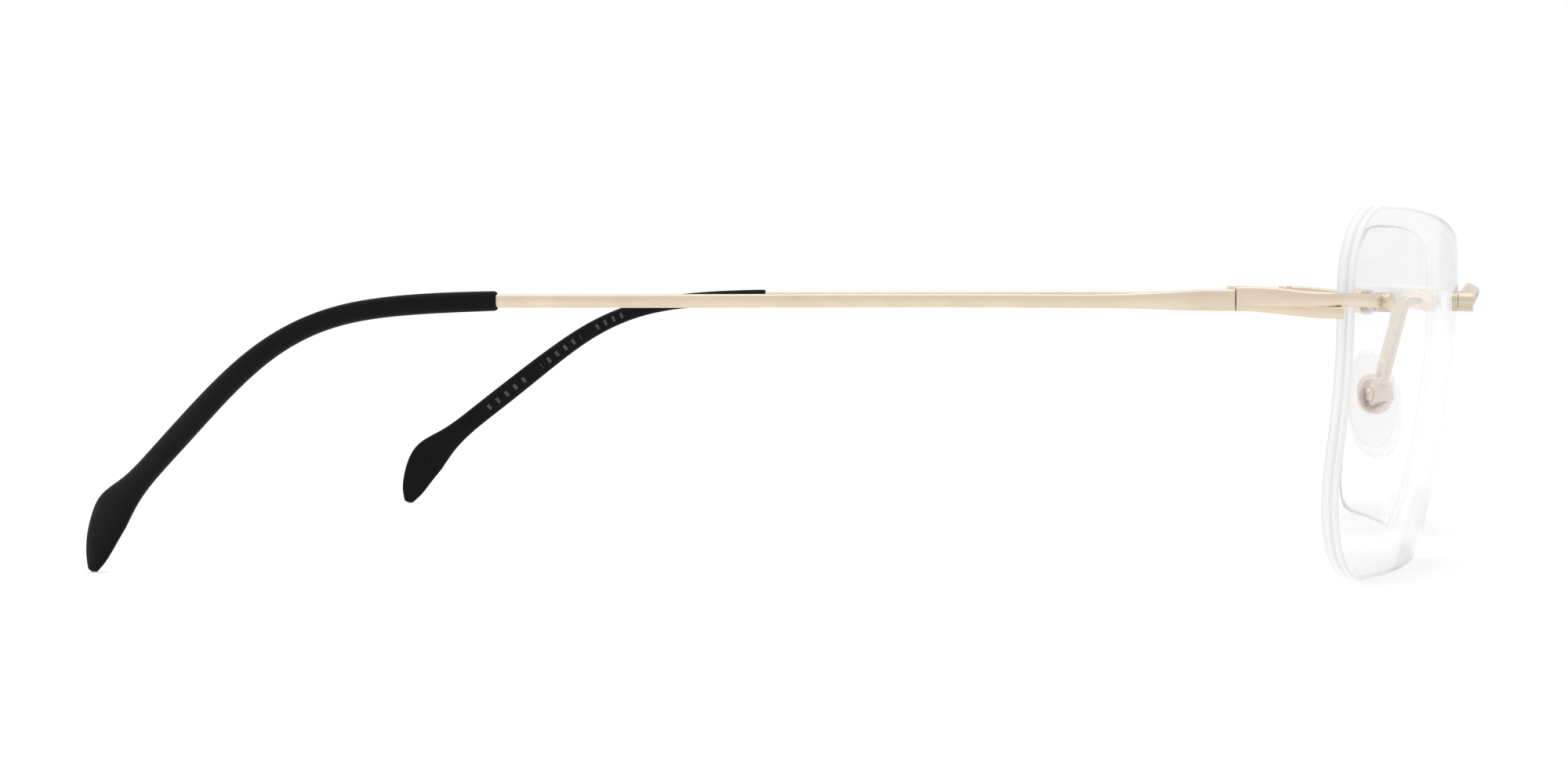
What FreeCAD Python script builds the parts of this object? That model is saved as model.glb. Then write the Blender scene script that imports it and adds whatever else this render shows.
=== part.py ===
import FreeCAD, Part
import Sketcher
import math
import os

# Rimless eyeglasses with slim metal temples, as an assembly of separate pieces.
# Frame: +Z up, +X to the wearer's left, -Y to the front (lenses), +Y to the rear (temple tips).
# Origin: middle of the bottom of the whole object, on the surface that it stands on.
# All sizes in millimetres.

V = FreeCAD.Vector
doc = FreeCAD.newDocument("rimless_eyeglasses")

# ---------------------------------------------------------------- driving dimensions
SIZES = [
    # lens blank: eye size 53, bridge (distance between lenses) 17
    ("lens_width", 53.0), ("lens_height", 39.03), ("lens_thickness", 1.8),
    ("lens_curve", 114.6), ("lens_gap", 17.0), ("lens_wrap", 11.93), ("lens_tilt", 6.77),
    ("lens_top_bow", 2.4), ("temple_reach", 27.2), ("nasal_reach", 26.95), ("nasal_drop", 4.35),
    ("nasal_slant", 5.26), ("temporal_slant", 1.86),
    ("corner_nasal_top", 10.8), ("corner_temple_top", 8.7),
    ("corner_temple_low", 14.7), ("corner_nasal_low", 8.5),
    ("lens_middle_front", 19.39), ("lens_middle_up", 19.18),
    # drilled holes, from the middle of the lens: sideways, up
    ("nasal_hole_side", 22.06), ("nasal_hole_up", 10.06),
    ("temple_hole_side", 21.33), ("temple_hole_up", 10.26), ("lens_hole", 1.9),
    # mounting hardware
    ("stud", 1.2), ("bush_wall", 0.3), ("flange", 2.5), ("flange_thick", 0.3),
    ("nut_width", 2.3), ("nut_thick", 1.15), ("eyelet", 2.6), ("eyelet_thick", 0.6),
    ("washer_thick", 0.4), ("nasal_boss", 2.3), ("nasal_boss_long", 1.75),
    ("temple_boss", 2.0), ("temple_boss_long", 1.6),
    # bridge bar
    ("bridge_bar_wide", 1.7), ("bridge_bar_thick", 1.3), ("bridge_rise", 1.35), ("bridge_forward", 0.75),
    # hinge: three knuckles on a vertical screw
    ("hinge_y", -51.58), ("hinge_up", 30.05), ("hinge_half", 64.75),
    ("knuckle", 2.4), ("knuckle_stack", 1.9), ("knuckle_middle", 0.64), ("knuckle_play", 0.05),
    ("hinge_screw", 1.1), ("hinge_screw_head", 1.9), ("hinge_head_thick", 0.35), ("seam", 0.1),
    # end piece
    ("end_height", 2.66), ("end_upper", 1.43), ("end_thick", 1.0), ("end_low_tail", 2.6), ("end_tilt", 3.8),
    # temple
    ("temple_half", 66.5), ("temple_thick", 0.95), ("temple_high", 1.4), ("temple_front_high", 2.3),
    ("core_wire", 1.1), ("sleeve_start", 76.2), ("tip_thick", 1.8),
    # nose pad assembly
    ("pad_long", 12.9), ("pad_wide", 7.6), ("pad_front", 1.35), ("pad_back", 0.75),
    ("pad_half", 9.2), ("pad_y", -13.1), ("pad_up", 17.2), ("pad_splay", 23.0), ("pad_lean", 14.5), ("pad_rake", 4.0),
    ("insert_long", 4.2), ("insert_wide", 4.4), ("insert_thick", 0.5),
    ("lug_thick", 0.85), ("lug_round", 1.6), ("pivot_back", 2.1), ("pivot_up", 1.0), ("pad_screw", 0.9),
    ("box_wide", 2.3), ("box_long", 2.3), ("box_slot", 1.05), ("box_wall", 0.4),
    ("arm_wide", 1.15), ("arm_thick", 0.8), ("arm_bend", 1.4),
]
sheet = doc.addObject("Spreadsheet::Sheet", "Sizes")
for row, (name, value) in enumerate(SIZES, 1):
    sheet.set("A%d" % row, name)
    sheet.set("B%d" % row, str(value))
    sheet.setAlias("B%d" % row, name)
doc.recompute()


def S(name):
    return float(sheet.get(name))


def bind(obj, **sizes):
    """Bind properties of an object to expressions in the sheet."""
    for prop, text in sizes.items():
        for name, _ in sorted(SIZES, key=lambda p: -len(p[0])):
            text = text.replace("{%s}" % name, "Sizes." + name)
        obj.setExpression(prop, text)
    return obj


def axes(x, y, z, at):
    """Placement whose local X, Y and Z point along the three given unit vectors."""
    m = FreeCAD.Matrix(x.x, y.x, z.x, at.x, x.y, y.y, z.y, at.y, x.z, y.z, z.z, at.z, 0, 0, 0, 1)
    return FreeCAD.Placement(m)


def unit(v):
    v = V(v)
    v.normalize()
    return v


def frame_z(z, at, hint=V(0, 0, 1)):
    """Placement with local Z along z, and local Y as near as it can be to hint."""
    z = unit(z)
    x = unit(hint.cross(z))
    return axes(x, z.cross(x), z, at)


def cylinder(name, place, radius, height, start):
    """Round bar along the local Z of a placement, from start."""
    c = doc.addObject("Part::Cylinder", name)
    bind(c, Radius=radius, Height=height)
    c.Placement = place.multiply(FreeCAD.Placement(V(0, 0, start), FreeCAD.Rotation()))
    return c


def box(name, place, length, width, height, corner):
    b = doc.addObject("Part::Box", name)
    bind(b, Length=length, Width=width, Height=height)
    b.Placement = place.multiply(FreeCAD.Placement(corner, FreeCAD.Rotation()))
    return b


def fuse(name, parts):
    f = doc.addObject("Part::MultiFuse", name)
    f.Shapes = parts
    f.Refine = False
    return f


def cut(name, base, tools):
    c = doc.addObject("Part::Cut", name)
    c.Base = base
    c.Tool = tools[0] if len(tools) == 1 else fuse(name + "_tools", tools)
    return c


def mirrored(name, source):
    """The wearer's-left twin of a right-hand piece."""
    m = doc.addObject("Part::Mirroring", name)
    m.Source = source
    m.Base = V(0, 0, 0)
    m.Normal = V(1, 0, 0)
    m.Label = name
    return m


def plane(body, role):
    for o in body.Origin.OriginFeatures:
        if o.Role == role:
            return o


def sketch_on(body, name, role):
    s = body.newObject("Sketcher::SketchObject", name)
    s.AttachmentSupport = [(plane(body, role), "")]
    s.MapMode = "FlatFace"
    return s


hy = S("hinge_y")

# ---------------------------------------------------------------- lens geometry (right lens, wearer's right, X < 0)
wrap, tilt = math.radians(S("lens_wrap")), math.radians(S("lens_tilt"))
side = V(-math.cos(wrap), math.sin(wrap), 0)            # along the lens, towards the temple
flat = V(-math.sin(wrap), -math.cos(wrap), 0)
up = V(0, 0, math.cos(tilt)) + flat * math.sin(tilt)    # up the lens
ahead = flat * math.cos(tilt) - V(0, 0, math.sin(tilt)) # out of the front surface
middle = V(-S("lens_gap") / 2 - S("lens_width") / 2 * math.cos(wrap), hy - S("lens_middle_front"), S("lens_middle_up"))
curve, thick = S("lens_curve"), S("lens_thickness")


def lens_normal(u, v):
    sag = curve - math.sqrt(curve ** 2 - u * u - v * v)
    return unit(side * u + up * v + ahead * (curve - sag))


def lens_point(u, v, out=0.0):
    """Point on the front surface of the right lens; out is the distance in front of it."""
    sag = curve - math.sqrt(curve ** 2 - u * u - v * v)
    return middle + side * u + up * v - ahead * sag + lens_normal(u, v) * out


def hole_place(u, v):
    """Placement at a lens hole: origin on the front surface, local Z out of it."""
    return frame_z(lens_normal(u, v), lens_point(u, v))


nasal = hole_place(-S("nasal_hole_side"), S("nasal_hole_up"))
temporal = hole_place(S("temple_hole_side"), S("temple_hole_up"))

# ---------------------------------------------------------------- lens: a drilled spherical shell cut to outline
body = doc.addObject("PartDesign::Body", "lens_blank")
outline = sketch_on(body, "lens_outline", "XY_Plane")
hw, hh, bow = S("temple_reach"), S("lens_height") / 2, S("lens_top_bow")
reach, drop = S("nasal_reach"), S("nasal_drop")
corner = [V(reach, hh - drop, 0), V(-hw, hh, 0), V(-hw + S("temporal_slant"), -hh, 0), V(reach - S("nasal_slant"), -hh, 0)]
chord = corner[0] - corner[1]
rt = (chord.Length ** 2 / 4 + bow * bow) / (2 * bow)
heart = (corner[0] + corner[1]) / 2 + V(chord.y, -chord.x, 0) * ((rt - bow) / chord.Length)
angles = [math.atan2(corner[i].y - heart.y, corner[i].x - heart.x) for i in (0, 1)]
outline.addGeometry([
    Part.ArcOfCircle(Part.Circle(heart, V(0, 0, 1), rt), angles[0], angles[1]),
    Part.LineSegment(corner[1], corner[2]),
    Part.LineSegment(corner[2], corner[3]),
    Part.LineSegment(corner[3], corner[0]),
], False)
C = Sketcher.Constraint
outline.addConstraint([C("Coincident", 0, 2, 1, 1), C("Coincident", 1, 2, 2, 1), C("Coincident", 2, 2, 3, 1), C("Coincident", 3, 2, 0, 1),
                       C("Horizontal", 2)])
for name, con, text in [
    ("temple", C("DistanceX", 0, 2, -1, 1, hw), "{temple_reach}"),
    ("nose", C("DistanceX", -1, 1, 0, 1, reach), "{nasal_reach}"),
    ("top", C("DistanceY", -1, 1, 0, 2, hh), "{lens_height} / 2"),
    ("drop", C("DistanceY", 0, 1, 0, 2, drop), "{nasal_drop}"),
    ("radius", C("Radius", 0, rt), "((({temple_reach} + {nasal_reach})^2 + {nasal_drop}^2) / 4 + {lens_top_bow}^2) / (2 * {lens_top_bow})"),
    ("low", C("DistanceY", 2, 1, -1, 1, hh), "{lens_height} / 2"),
    ("lowtemple", C("DistanceX", 2, 1, -1, 1, hw - S("temporal_slant")), "{temple_reach} - {temporal_slant}"),
    ("lownasal", C("DistanceX", -1, 1, 2, 2, reach - S("nasal_slant")), "{nasal_reach} - {nasal_slant}"),
]:
    i = outline.addConstraint(con)
    outline.renameConstraint(i, name)
    bind(outline, **{"Constraints." + name: text})
pad = body.newObject("PartDesign::Pad", "lens_slab")
pad.Profile = outline
bind(pad, Length="{lens_thickness} + 8")
pad.Reversed = True
doc.recompute()


for who, key in [("corner_nasal_top", (True, True)), ("corner_temple_top", (False, True)),
                 ("corner_temple_low", (False, False)), ("corner_nasal_low", (True, False))]:
    # corners are rounded one at a time; the corner still to do is the sharp edge in its quadrant
    base = body.Tip
    best = None
    for i, e in enumerate(base.Shape.Edges, 1):
        if len(e.Vertexes) != 2:
            continue
        a, b = e.Vertexes[0].Point, e.Vertexes[-1].Point
        if abs(a.x - b.x) < 1e-6 and abs(a.y - b.y) < 1e-6 and (a.x > 0, a.y > 0) == key:
            reach = abs(a.x) + abs(a.y)
            if best is None or reach > best[0]:
                best = (reach, "Edge%d" % i)
    f = body.newObject("PartDesign::Fillet", who + "_round")
    f.Base = (base, [best[1]])
    bind(f, Radius="{%s}" % who)
    doc.recompute()

# grooves that leave a shell between two concentric spheres
far = 45.0
for name, radius, edge, text in [("front_groove", curve, 3.0, "{lens_curve}"), ("rear_groove", curve - thick, -16.0, "{lens_curve} - {lens_thickness}")]:
    sk = sketch_on(body, name + "_profile", "XZ_Plane")
    a1 = math.asin(far / radius)
    tip = V(0, -curve + radius, 0)
    out = V(far, -curve + math.sqrt(radius ** 2 - far ** 2), 0)
    sk.addGeometry([
        Part.ArcOfCircle(Part.Circle(V(0, -curve, 0), V(0, 0, 1), radius), math.pi / 2 - a1, math.pi / 2),
        Part.LineSegment(tip, V(0, edge, 0)),
        Part.LineSegment(V(0, edge, 0), V(far, edge, 0)),
        Part.LineSegment(V(far, edge, 0), out),
    ], False)
    sk.addConstraint([C("Coincident", 0, 2, 1, 1), C("Coincident", 1, 2, 2, 1), C("Coincident", 2, 2, 3, 1), C("Coincident", 3, 2, 0, 1),
                      C("PointOnObject", 1, 1, -2), C("PointOnObject", 1, 2, -2), C("PointOnObject", 0, 3, -2), C("Horizontal", 2), C("Vertical", 3)])
    for cname, con, ctext in [
        ("radius", C("Radius", 0, radius), text),
        ("centre", C("DistanceY", 0, 3, -1, 1, curve), "{lens_curve}"),
        ("reach", C("DistanceX", 2, 1, 2, 2, far), None),
        ("edge", C("DistanceY", -1, 1, 1, 2, edge) if edge > 0 else C("DistanceY", 1, 2, -1, 1, -edge), None),
    ]:
        i = sk.addConstraint(con)
        sk.renameConstraint(i, cname)
        if ctext:
            bind(sk, **{"Constraints." + cname: ctext})
    before = body.Shape.Volume
    g = body.newObject("PartDesign::Groove", name)
    g.Profile = sk
    g.ReferenceAxis = (sk, ["V_Axis"])
    g.Angle = 360
    doc.recompute()
    if body.Shape.Volume > before - 1:
        raise RuntimeError(name + " cut nothing")

body.Placement = axes(side * -1, up, ahead, middle)
lens_right = cut("lens_right", body, [
    cylinder("nasal_drill", nasal, "{lens_hole} / 2", "10", -6),
    cylinder("temple_drill", temporal, "{lens_hole} / 2", "10", -6)])

# ---------------------------------------------------------------- clear bushings, washers and nuts (identical pieces share a node)
t = thick
rear = -t - 0.03


def bushing(name, place):
    outer = cylinder(name + "_tube", place, "{lens_hole} / 2", "{lens_thickness} + 0.1", rear - 0.08)
    flange = cylinder(name + "_flange", place, "{flange} / 2", "{flange_thick}", rear - S("flange_thick"))
    bore = cylinder(name + "_bore", place, "{stud} / 2", "10", -6)
    return cut(name, fuse(name + "_solid", [outer, flange]), [bore])


def hex_nut(name, place, top):
    n = doc.addObject("Part::Prism", name + "_hex")
    n.Polygon = 6
    bind(n, Circumradius="{nut_width} / 2 / cos(30)", Height="{nut_thick}")
    n.Placement = place.multiply(FreeCAD.Placement(V(0, 0, top - S("nut_thick")), FreeCAD.Rotation()))
    bore = cylinder(name + "_thread", place, "{stud} / 2", "10", -6)
    # the two ends of the hexagon are turned down
    ball = doc.addObject("Part::Sphere", name + "_turned")
    bind(ball, Radius="{nut_width} * 0.62")
    ball.Placement = place.multiply(FreeCAD.Placement(V(0, 0, top - S("nut_thick") / 2), FreeCAD.Rotation()))
    common = doc.addObject("Part::MultiCommon", name + "_blank")
    common.Shapes = [n, ball]
    return cut(name, common, [bore])


def washer(name, place, top):
    ring = cylinder(name + "_disc", place, "{eyelet} / 2", "{washer_thick}", top - S("washer_thick"))
    bore = cylinder(name + "_bore", place, "{stud} / 2", "10", -6)
    return cut(name, ring, [bore])


def both_sides(name, singles):
    """One node of separate solids: the given right-hand pieces and their twins."""
    twins = []
    for o in singles:
        m = doc.addObject("Part::Mirroring", o.Name + "_twin")
        m.Source = o
        m.Normal = V(1, 0, 0)
        twins.append(m)
    c = doc.addObject("Part::Compound", name)
    c.Links = list(singles) + twins
    c.Label = name
    return c


stack = rear - S("flange_thick") - 0.01
bushings = both_sides("lens_bushings", [bushing("nasal_bushing", nasal), bushing("temple_bushing", temporal)])
washers = both_sides("end_piece_washers", [washer("temple_washer", temporal, stack)])
nasal_nut_top = stack - S("eyelet_thick") - 0.01
temple_nut_top = stack - S("washer_thick") - 0.01
nuts = both_sides("lens_nuts", [hex_nut("nasal_nut", nasal, nasal_nut_top), hex_nut("temple_nut", temporal, temple_nut_top)])

# ---------------------------------------------------------------- bridge: arched bar, two round bosses, two threaded studs
boss_end = S("nasal_boss_long")
foot = nasal.multVec(V(0, 0, boss_end - S("bridge_bar_thick") / 2 - 0.05))
rise = math.hypot(S("bridge_rise"), S("bridge_forward"))
lift = unit(V(0, -S("bridge_forward"), S("bridge_rise")))
half = -foot.x
arch = (half * half + rise * rise) / (2 * rise)
arch_body = doc.addObject("PartDesign::Body", "bridge_bar")
profile = sketch_on(arch_body, "bridge_profile", "YZ_Plane")
a, b = S("bridge_bar_wide") / 2, S("bridge_bar_thick") / 2
# rounded-rectangle section; sketch x is the local Y (radial), sketch y the local Z
r = 0.42
pts = [(arch - b, -a), (arch + b, -a), (arch + b, a), (arch - b, a)]
profile.addGeometry([
    Part.LineSegment(V(arch - b + r, -a, 0), V(arch + b - r, -a, 0)),
    Part.ArcOfCircle(Part.Circle(V(arch + b - r, -a + r, 0), V(0, 0, 1), r), -math.pi / 2, 0),
    Part.LineSegment(V(arch + b, -a + r, 0), V(arch + b, a - r, 0)),
    Part.ArcOfCircle(Part.Circle(V(arch + b - r, a - r, 0), V(0, 0, 1), r), 0, math.pi / 2),
    Part.LineSegment(V(arch + b - r, a, 0), V(arch - b + r, a, 0)),
    Part.ArcOfCircle(Part.Circle(V(arch - b + r, a - r, 0), V(0, 0, 1), r), math.pi / 2, math.pi),
    Part.LineSegment(V(arch - b, a - r, 0), V(arch - b, -a + r, 0)),
    Part.ArcOfCircle(Part.Circle(V(arch - b + r, -a + r, 0), V(0, 0, 1), r), math.pi, 1.5 * math.pi),
], False)
for i in range(8):
    profile.addConstraint(C("Tangent", i, 2, (i + 1) % 8, 1))
profile.addConstraint([C("Horizontal", 0), C("Equal", 1, 3), C("Equal", 3, 5), C("Equal", 5, 7), C("Radius", 1, r),
                       C("Symmetric", 2, 1, 2, 2, -1)])
for cname, con, ctext in [
    ("thick", C("DistanceX", 6, 1, 2, 1, 2 * b), "{bridge_bar_thick}"),
    ("wide", C("DistanceY", 0, 1, 4, 2, 2 * a), "{bridge_bar_wide}"),
    ("arch", C("DistanceX", -1, 1, 6, 1, arch - b), None),
]:
    i = profile.addConstraint(con)
    profile.renameConstraint(i, cname)
    if ctext:
        bind(profile, **{"Constraints." + cname: ctext})
rev = arch_body.newObject("PartDesign::Revolution", "bridge_arch")
rev.Profile = profile
rev.ReferenceAxis = (plane(arch_body, "Z_Axis"), [""])
rev.Angle = 2 * math.degrees(math.asin(half / arch))
rev.Midplane = True
doc.recompute()
arch_body.Placement = axes(V(1, 0, 0), lift, V(1, 0, 0).cross(lift), V(0, foot.y, foot.z) + lift * (rise - arch))


def mirror_place(p):
    """The twin placement across the middle plane (a turn of the tool that is symmetric about its own axis)."""
    z = p.Rotation.multVec(V(0, 0, 1))
    return frame_z(V(-z.x, z.y, z.z), V(-p.Base.x, p.Base.y, p.Base.z))


bridge_bits = [arch_body]
for name, place in [("right", nasal), ("left", mirror_place(nasal))]:
    bridge_bits.append(cylinder("bridge_boss_" + name, place, "{nasal_boss} / 2", "{nasal_boss_long} - 0.04", 0.04))
    bridge_bits.append(cylinder("bridge_stud_" + name, place, "{stud} / 2", "{lens_thickness} + {flange_thick} + {eyelet_thick} + {nut_thick} + 0.35", nasal_nut_top - S("nut_thick") - 0.2))
bridge = fuse("bridge", bridge_bits)

# ---------------------------------------------------------------- end piece: bar, front arm, boss, stud, two knuckles
ek, ez = S("end_thick") / 2, S("end_height") / 2
half_x = S("hinge_half")
z0 = S("hinge_up")
start = V(-S("temple_half"), hy - S("seam") / 2, 0)
arm_end = temporal.multVec(V(0, 0, S("end_thick") / 2 + 0.05))
arm_dir = unit(V(lens_normal(S("temple_hole_side"), S("temple_hole_up")).y * -1, lens_normal(S("temple_hole_side"), S("temple_hole_up")).x, 0))
arm_dir = unit(V(abs(arm_dir.x), -abs(arm_dir.y), 0))
turn_at = V(arm_end.x, arm_end.y, 0) - arm_dir * 10.15
bar_dir = unit(turn_at - start)
bend_r = 2.6
turn = math.acos(max(-1, min(1, bar_dir.dot(arm_dir))))
tl = bend_r * math.tan(turn / 2)
left_of = lambda d: V(-d.y, d.x, 0)
centre = turn_at - bar_dir * tl + left_of(bar_dir) * bend_r
p1, p2 = turn_at - bar_dir * tl, turn_at + arm_dir * tl
arm_tip = V(arm_end.x, arm_end.y, 0)


def strip(whole, h, z_low, name):
    """Flat bar of constant thickness, seen from above: start - bend - arm, or only its first run."""
    base = V(0, 0, z_low)
    o, i_ = base - left_of(bar_dir) * ek, base + left_of(bar_dir) * ek
    o2, i2 = base - left_of(arm_dir) * ek, base + left_of(arm_dir) * ek
    if whole:
        mid_dir = unit(p1 - centre + (p2 - centre))
        edges = [
            Part.makeLine(start + o, p1 + o),
            Part.Arc(p1 + o, centre + mid_dir * (bend_r + ek) + base, p2 + o2).toShape(),
            Part.makeLine(p2 + o2, arm_tip + o2),
            Part.makeLine(arm_tip + o2, arm_tip + i2),
            Part.makeLine(arm_tip + i2, p2 + i2),
            Part.Arc(p2 + i2, centre + mid_dir * (bend_r - ek) + base, p1 + i_).toShape(),
            Part.makeLine(p1 + i_, start + i_),
            Part.makeLine(start + i_, start + o),
        ]
    else:
        tail = p1 + bar_dir * S("end_low_tail")
        edges = [Part.makeLine(start + o, tail + o), Part.makeLine(tail + o, tail + i_), Part.makeLine(tail + i_, start + i_), Part.makeLine(start + i_, start + o)]
    f = doc.addObject("Part::Feature", name)
    f.Shape = Part.Face(Part.Wire(Part.__sortEdges__(edges))).extrude(V(0, 0, h))
    return f


tilt_place = FreeCAD.Placement(V(0, 0, 0), FreeCAD.Rotation(V(1, 0, 0), S("end_tilt")), V(0, hy, z0))
upper = strip(True, S("end_upper"), z0 + ez - S("end_upper"), "end_upper_bar")
lower = strip(False, S("end_height") - S("end_upper") + 0.2, z0 - ez, "end_lower_bar")
for o in (upper, lower):
    o.Placement = tilt_place
knuckle_axis = FreeCAD.Placement(V(-half_x, hy, z0), FreeCAD.Rotation())
kr = S("knuckle") / 2
stack_h, mid_h, play = S("knuckle_stack"), S("knuckle_middle"), S("knuckle_play")
outer_h = (stack_h - mid_h) / 2 - play
ends = []
for name, low in [("low", -stack_h / 2), ("top", mid_h / 2 + play)]:
    ends.append(cylinder("end_knuckle_" + name, knuckle_axis, "{knuckle} / 2", "({knuckle_stack} - {knuckle_middle}) / 2 - {knuckle_play}", low))
    web = box("end_web_" + name, knuckle_axis, "{temple_half} - {hinge_half} - {end_thick} / 2 + 0.35", "{knuckle} / 2 - {seam} / 2",
              "({knuckle_stack} - {knuckle_middle}) / 2 - {knuckle_play}", V(-(S("temple_half") - half_x - ek + 0.35), -kr, low))
    ends.append(web)
boss = cylinder("end_boss", temporal, "{temple_boss} / 2", "{temple_boss_long} - 0.04", 0.04)
stud = cylinder("end_stud", temporal, "{stud} / 2", "{lens_thickness} + {flange_thick} + {washer_thick} + {nut_thick} + 0.35", temple_nut_top - S("nut_thick") - 0.2)
end_blank = fuse("end_piece_blank", [upper, lower, boss, stud] + ends)
top_bore = cylinder("end_top_bore", knuckle_axis, "{hinge_screw} / 2 + 0.05", "5", 0.0)
low_bore = cylinder("end_low_bore", knuckle_axis, "{hinge_screw} / 2", "5", -5.0)
middle_gap = cylinder("end_middle_gap", knuckle_axis, "{knuckle} / 2 + 0.08", "{knuckle_middle} + 2 * {knuckle_play}", -mid_h / 2 - play)
# no part of the front arm may sink into the lens: it stays 0.04 in front of the lens surface
lens_ball = doc.addObject("Part::Sphere", "lens_front_ball")
bind(lens_ball, Radius="{lens_curve} + 0.04", Angle1="-90", Angle2="90")
lens_ball.Placement = FreeCAD.Placement(middle - ahead * curve, FreeCAD.Rotation())
end_trim_zone = doc.addObject("Part::Box", "end_trim_zone")
bind(end_trim_zone, Length="12", Width="6", Height="6")
end_trim_zone.Placement = FreeCAD.Placement(V(lens_point(hw, 10).x - 0.3, lens_point(hw, 10).y - 6.5, z0 - 3.5), FreeCAD.Rotation())
end_trim = doc.addObject("Part::MultiCommon", "end_trim")
end_trim.Shapes = [lens_ball, end_trim_zone]
stud_keep = cylinder("end_stud_keep", temporal, "{stud} / 2", "{lens_thickness} + {flange_thick} + {washer_thick} + {nut_thick} + 0.35", temple_nut_top - S("nut_thick") - 0.2)
end_bare = cut("end_piece_bare", end_blank, [top_bore, low_bore, middle_gap, end_trim])
end_piece_right = fuse("end_piece_right", [end_bare, stud_keep])

# ---------------------------------------------------------------- hinge screw
def slotted_screw(name, place, shank, head, head_t, length, start_z, head_at):
    """Round shank with a slotted head; the head sits on head_at, the shank runs from start_z."""
    s1 = cylinder(name + "_shank", place, shank, length, start_z)
    s2 = cylinder(name + "_head", place, head, head_t, head_at)
    slot = box(name + "_slot", place, "4", "0.3", "1", V(-2, -0.15, head_at + 0.17))
    return cut(name, fuse(name + "_solid", [s1, s2]), [slot])


hinge_screw_right = slotted_screw("hinge_screw_right", knuckle_axis, "{hinge_screw} / 2", "{hinge_screw_head} / 2", "{hinge_head_thick}",
                                  "{knuckle_stack} + 0.03", -stack_h / 2, stack_h / 2 + 0.02)

# ---------------------------------------------------------------- temple path: plan (half width) and height against distance behind the hinge
PATH = [  # behind the hinge, half width, height
    (0.0, 66.5, 30.05), (6.0, 66.78, 29.97), (13.6, 67.1, 29.95), (28.3, 67.7, 30.05), (42.0, 67.95, 30.1), (56.5, 68.0, 30.13), (68.0, 67.95, 30.17),
    (76.2, 67.88, 30.22), (82.86, 67.78, 30.01), (88.33, 67.57, 29.62), (92.99, 67.04, 28.92), (97.4, 66.28, 27.65), (102.09, 65.27, 25.42), (107.36, 63.75, 21.76),
    (113.56, 61.13, 16.62), (117.65, 59.17, 13.17), (120.37, 57.92, 10.81), (122.23, 57.09, 9.16), (123.79, 56.43, 7.72), (124.8, 56.02, 6.6), (125.56, 55.71, 5.39),
    (126.17, 55.47, 4.15), (126.78, 55.25, 2.68), (127.19, 55.09, 1.55), (127.62, 54.92, 0.26)]


def tangent(i):
    a = PATH[max(i - 1, 0)]
    b = PATH[min(i + 1, len(PATH) - 1)]
    return unit(V(-(b[1] - a[1]), b[0] - a[0], b[2] - a[2]))


def station(i):
    p = PATH[i]
    return V(-p[1], p[0] + hy, p[2])


def section(name, i, high, wide, shift=0.0):
    """Ellipse across the path at station i: high is measured up and down, wide sideways."""
    d = tangent(i)
    e = doc.addObject("Part::Ellipse", name)
    sideways = unit(d.cross(V(0, 0, 1)))
    upward = unit(sideways.cross(d))
    flat_wise = high >= wide
    bind(e, MajorRadius="(%s) / 2" % (high if isinstance(high, str) else repr(float(high))) if True else "", MinorRadius="(%s) / 2" % (wide if isinstance(wide, str) else repr(float(wide))))
    e.Placement = axes(upward, unit(d.cross(upward)), d, station(i) + upward * shift)
    return e


def loft(name, sections):
    l = doc.addObject("Part::Loft", name)
    l.Sections = sections
    l.Solid = True
    l.Ruled = False
    return l


def num(i):
    return "%02d" % i


# main bar from the hinge to the sleeve
BAR = {1: 2.0, 2: 1.42, 3: 1.4, 4: 1.4, 5: 1.4, 6: 1.4, 7: 1.4}
front_sec = section("temple_sec_00", 0, S("temple_front_high"), S("temple_thick"))
front_sec.Placement = FreeCAD.Placement(V(0, 1.2, 0), FreeCAD.Rotation()).multiply(front_sec.Placement)
bind(front_sec, MajorRadius="{temple_front_high} / 2", MinorRadius="{temple_thick} / 2")
secs = [front_sec]
for i, high in BAR.items():
    e = section("temple_sec_" + num(i), i, high, S("temple_thick"))
    bind(e, MajorRadius="{temple_high} / 2 * %.4f" % (high / 1.4), MinorRadius="{temple_thick} / 2")
    secs.append(e)
bar = loft("temple_bar", secs)
# wire that runs on inside the tip
core_secs = []
for i in range(7, 16):
    e = section("core_sec_" + num(i), i, 1.1, 1.1)
    bind(e, MajorRadius="{core_wire} / 2 + 0.0001", MinorRadius="{core_wire} / 2")
    core_secs.append(e)
core = loft("temple_core", core_secs)
# front plate and middle knuckle
plate = box("temple_plate", FreeCAD.Placement(V(-S("temple_half"), hy, z0), FreeCAD.Rotation()), "{end_thick}", "2.4", "{temple_front_high}",
            V(-ek, S("seam") / 2, -S("temple_front_high") / 2))
plate_round = doc.addObject("Part::Fillet", "temple_plate_round")
plate_round.Base = plate
doc.recompute()
plate_edges = []
for i, e in enumerate(plate.Shape.Edges, 1):
    a_, b_ = e.Vertexes[0].Point, e.Vertexes[1].Point
    if abs(a_.x - b_.x) < 1e-6 and abs(a_.z - b_.z) < 1e-6 and a_.x < -S("temple_half"):
        plate_edges.append((i, 0.25, 0.25))
plate_round.Edges = plate_edges
mid_knuckle = cylinder("temple_knuckle", knuckle_axis, "{knuckle} / 2", "{knuckle_middle}", -mid_h / 2)
tongue = box("temple_tongue", knuckle_axis, "{temple_half} - {hinge_half} - {end_thick} / 2 + 0.35", "{knuckle} / 2 - {seam} / 2", "{knuckle_middle}",
             V(-(S("temple_half") - half_x - ek + 0.35), S("seam") / 2, -mid_h / 2))
mid_bore = cylinder("temple_bore", knuckle_axis, "{hinge_screw} / 2 + 0.05", "6", -3.0)
temple_right = cut("temple_right", fuse("temple_blank", [plate_round, bar, core, mid_knuckle, tongue]), [mid_bore])

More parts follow.
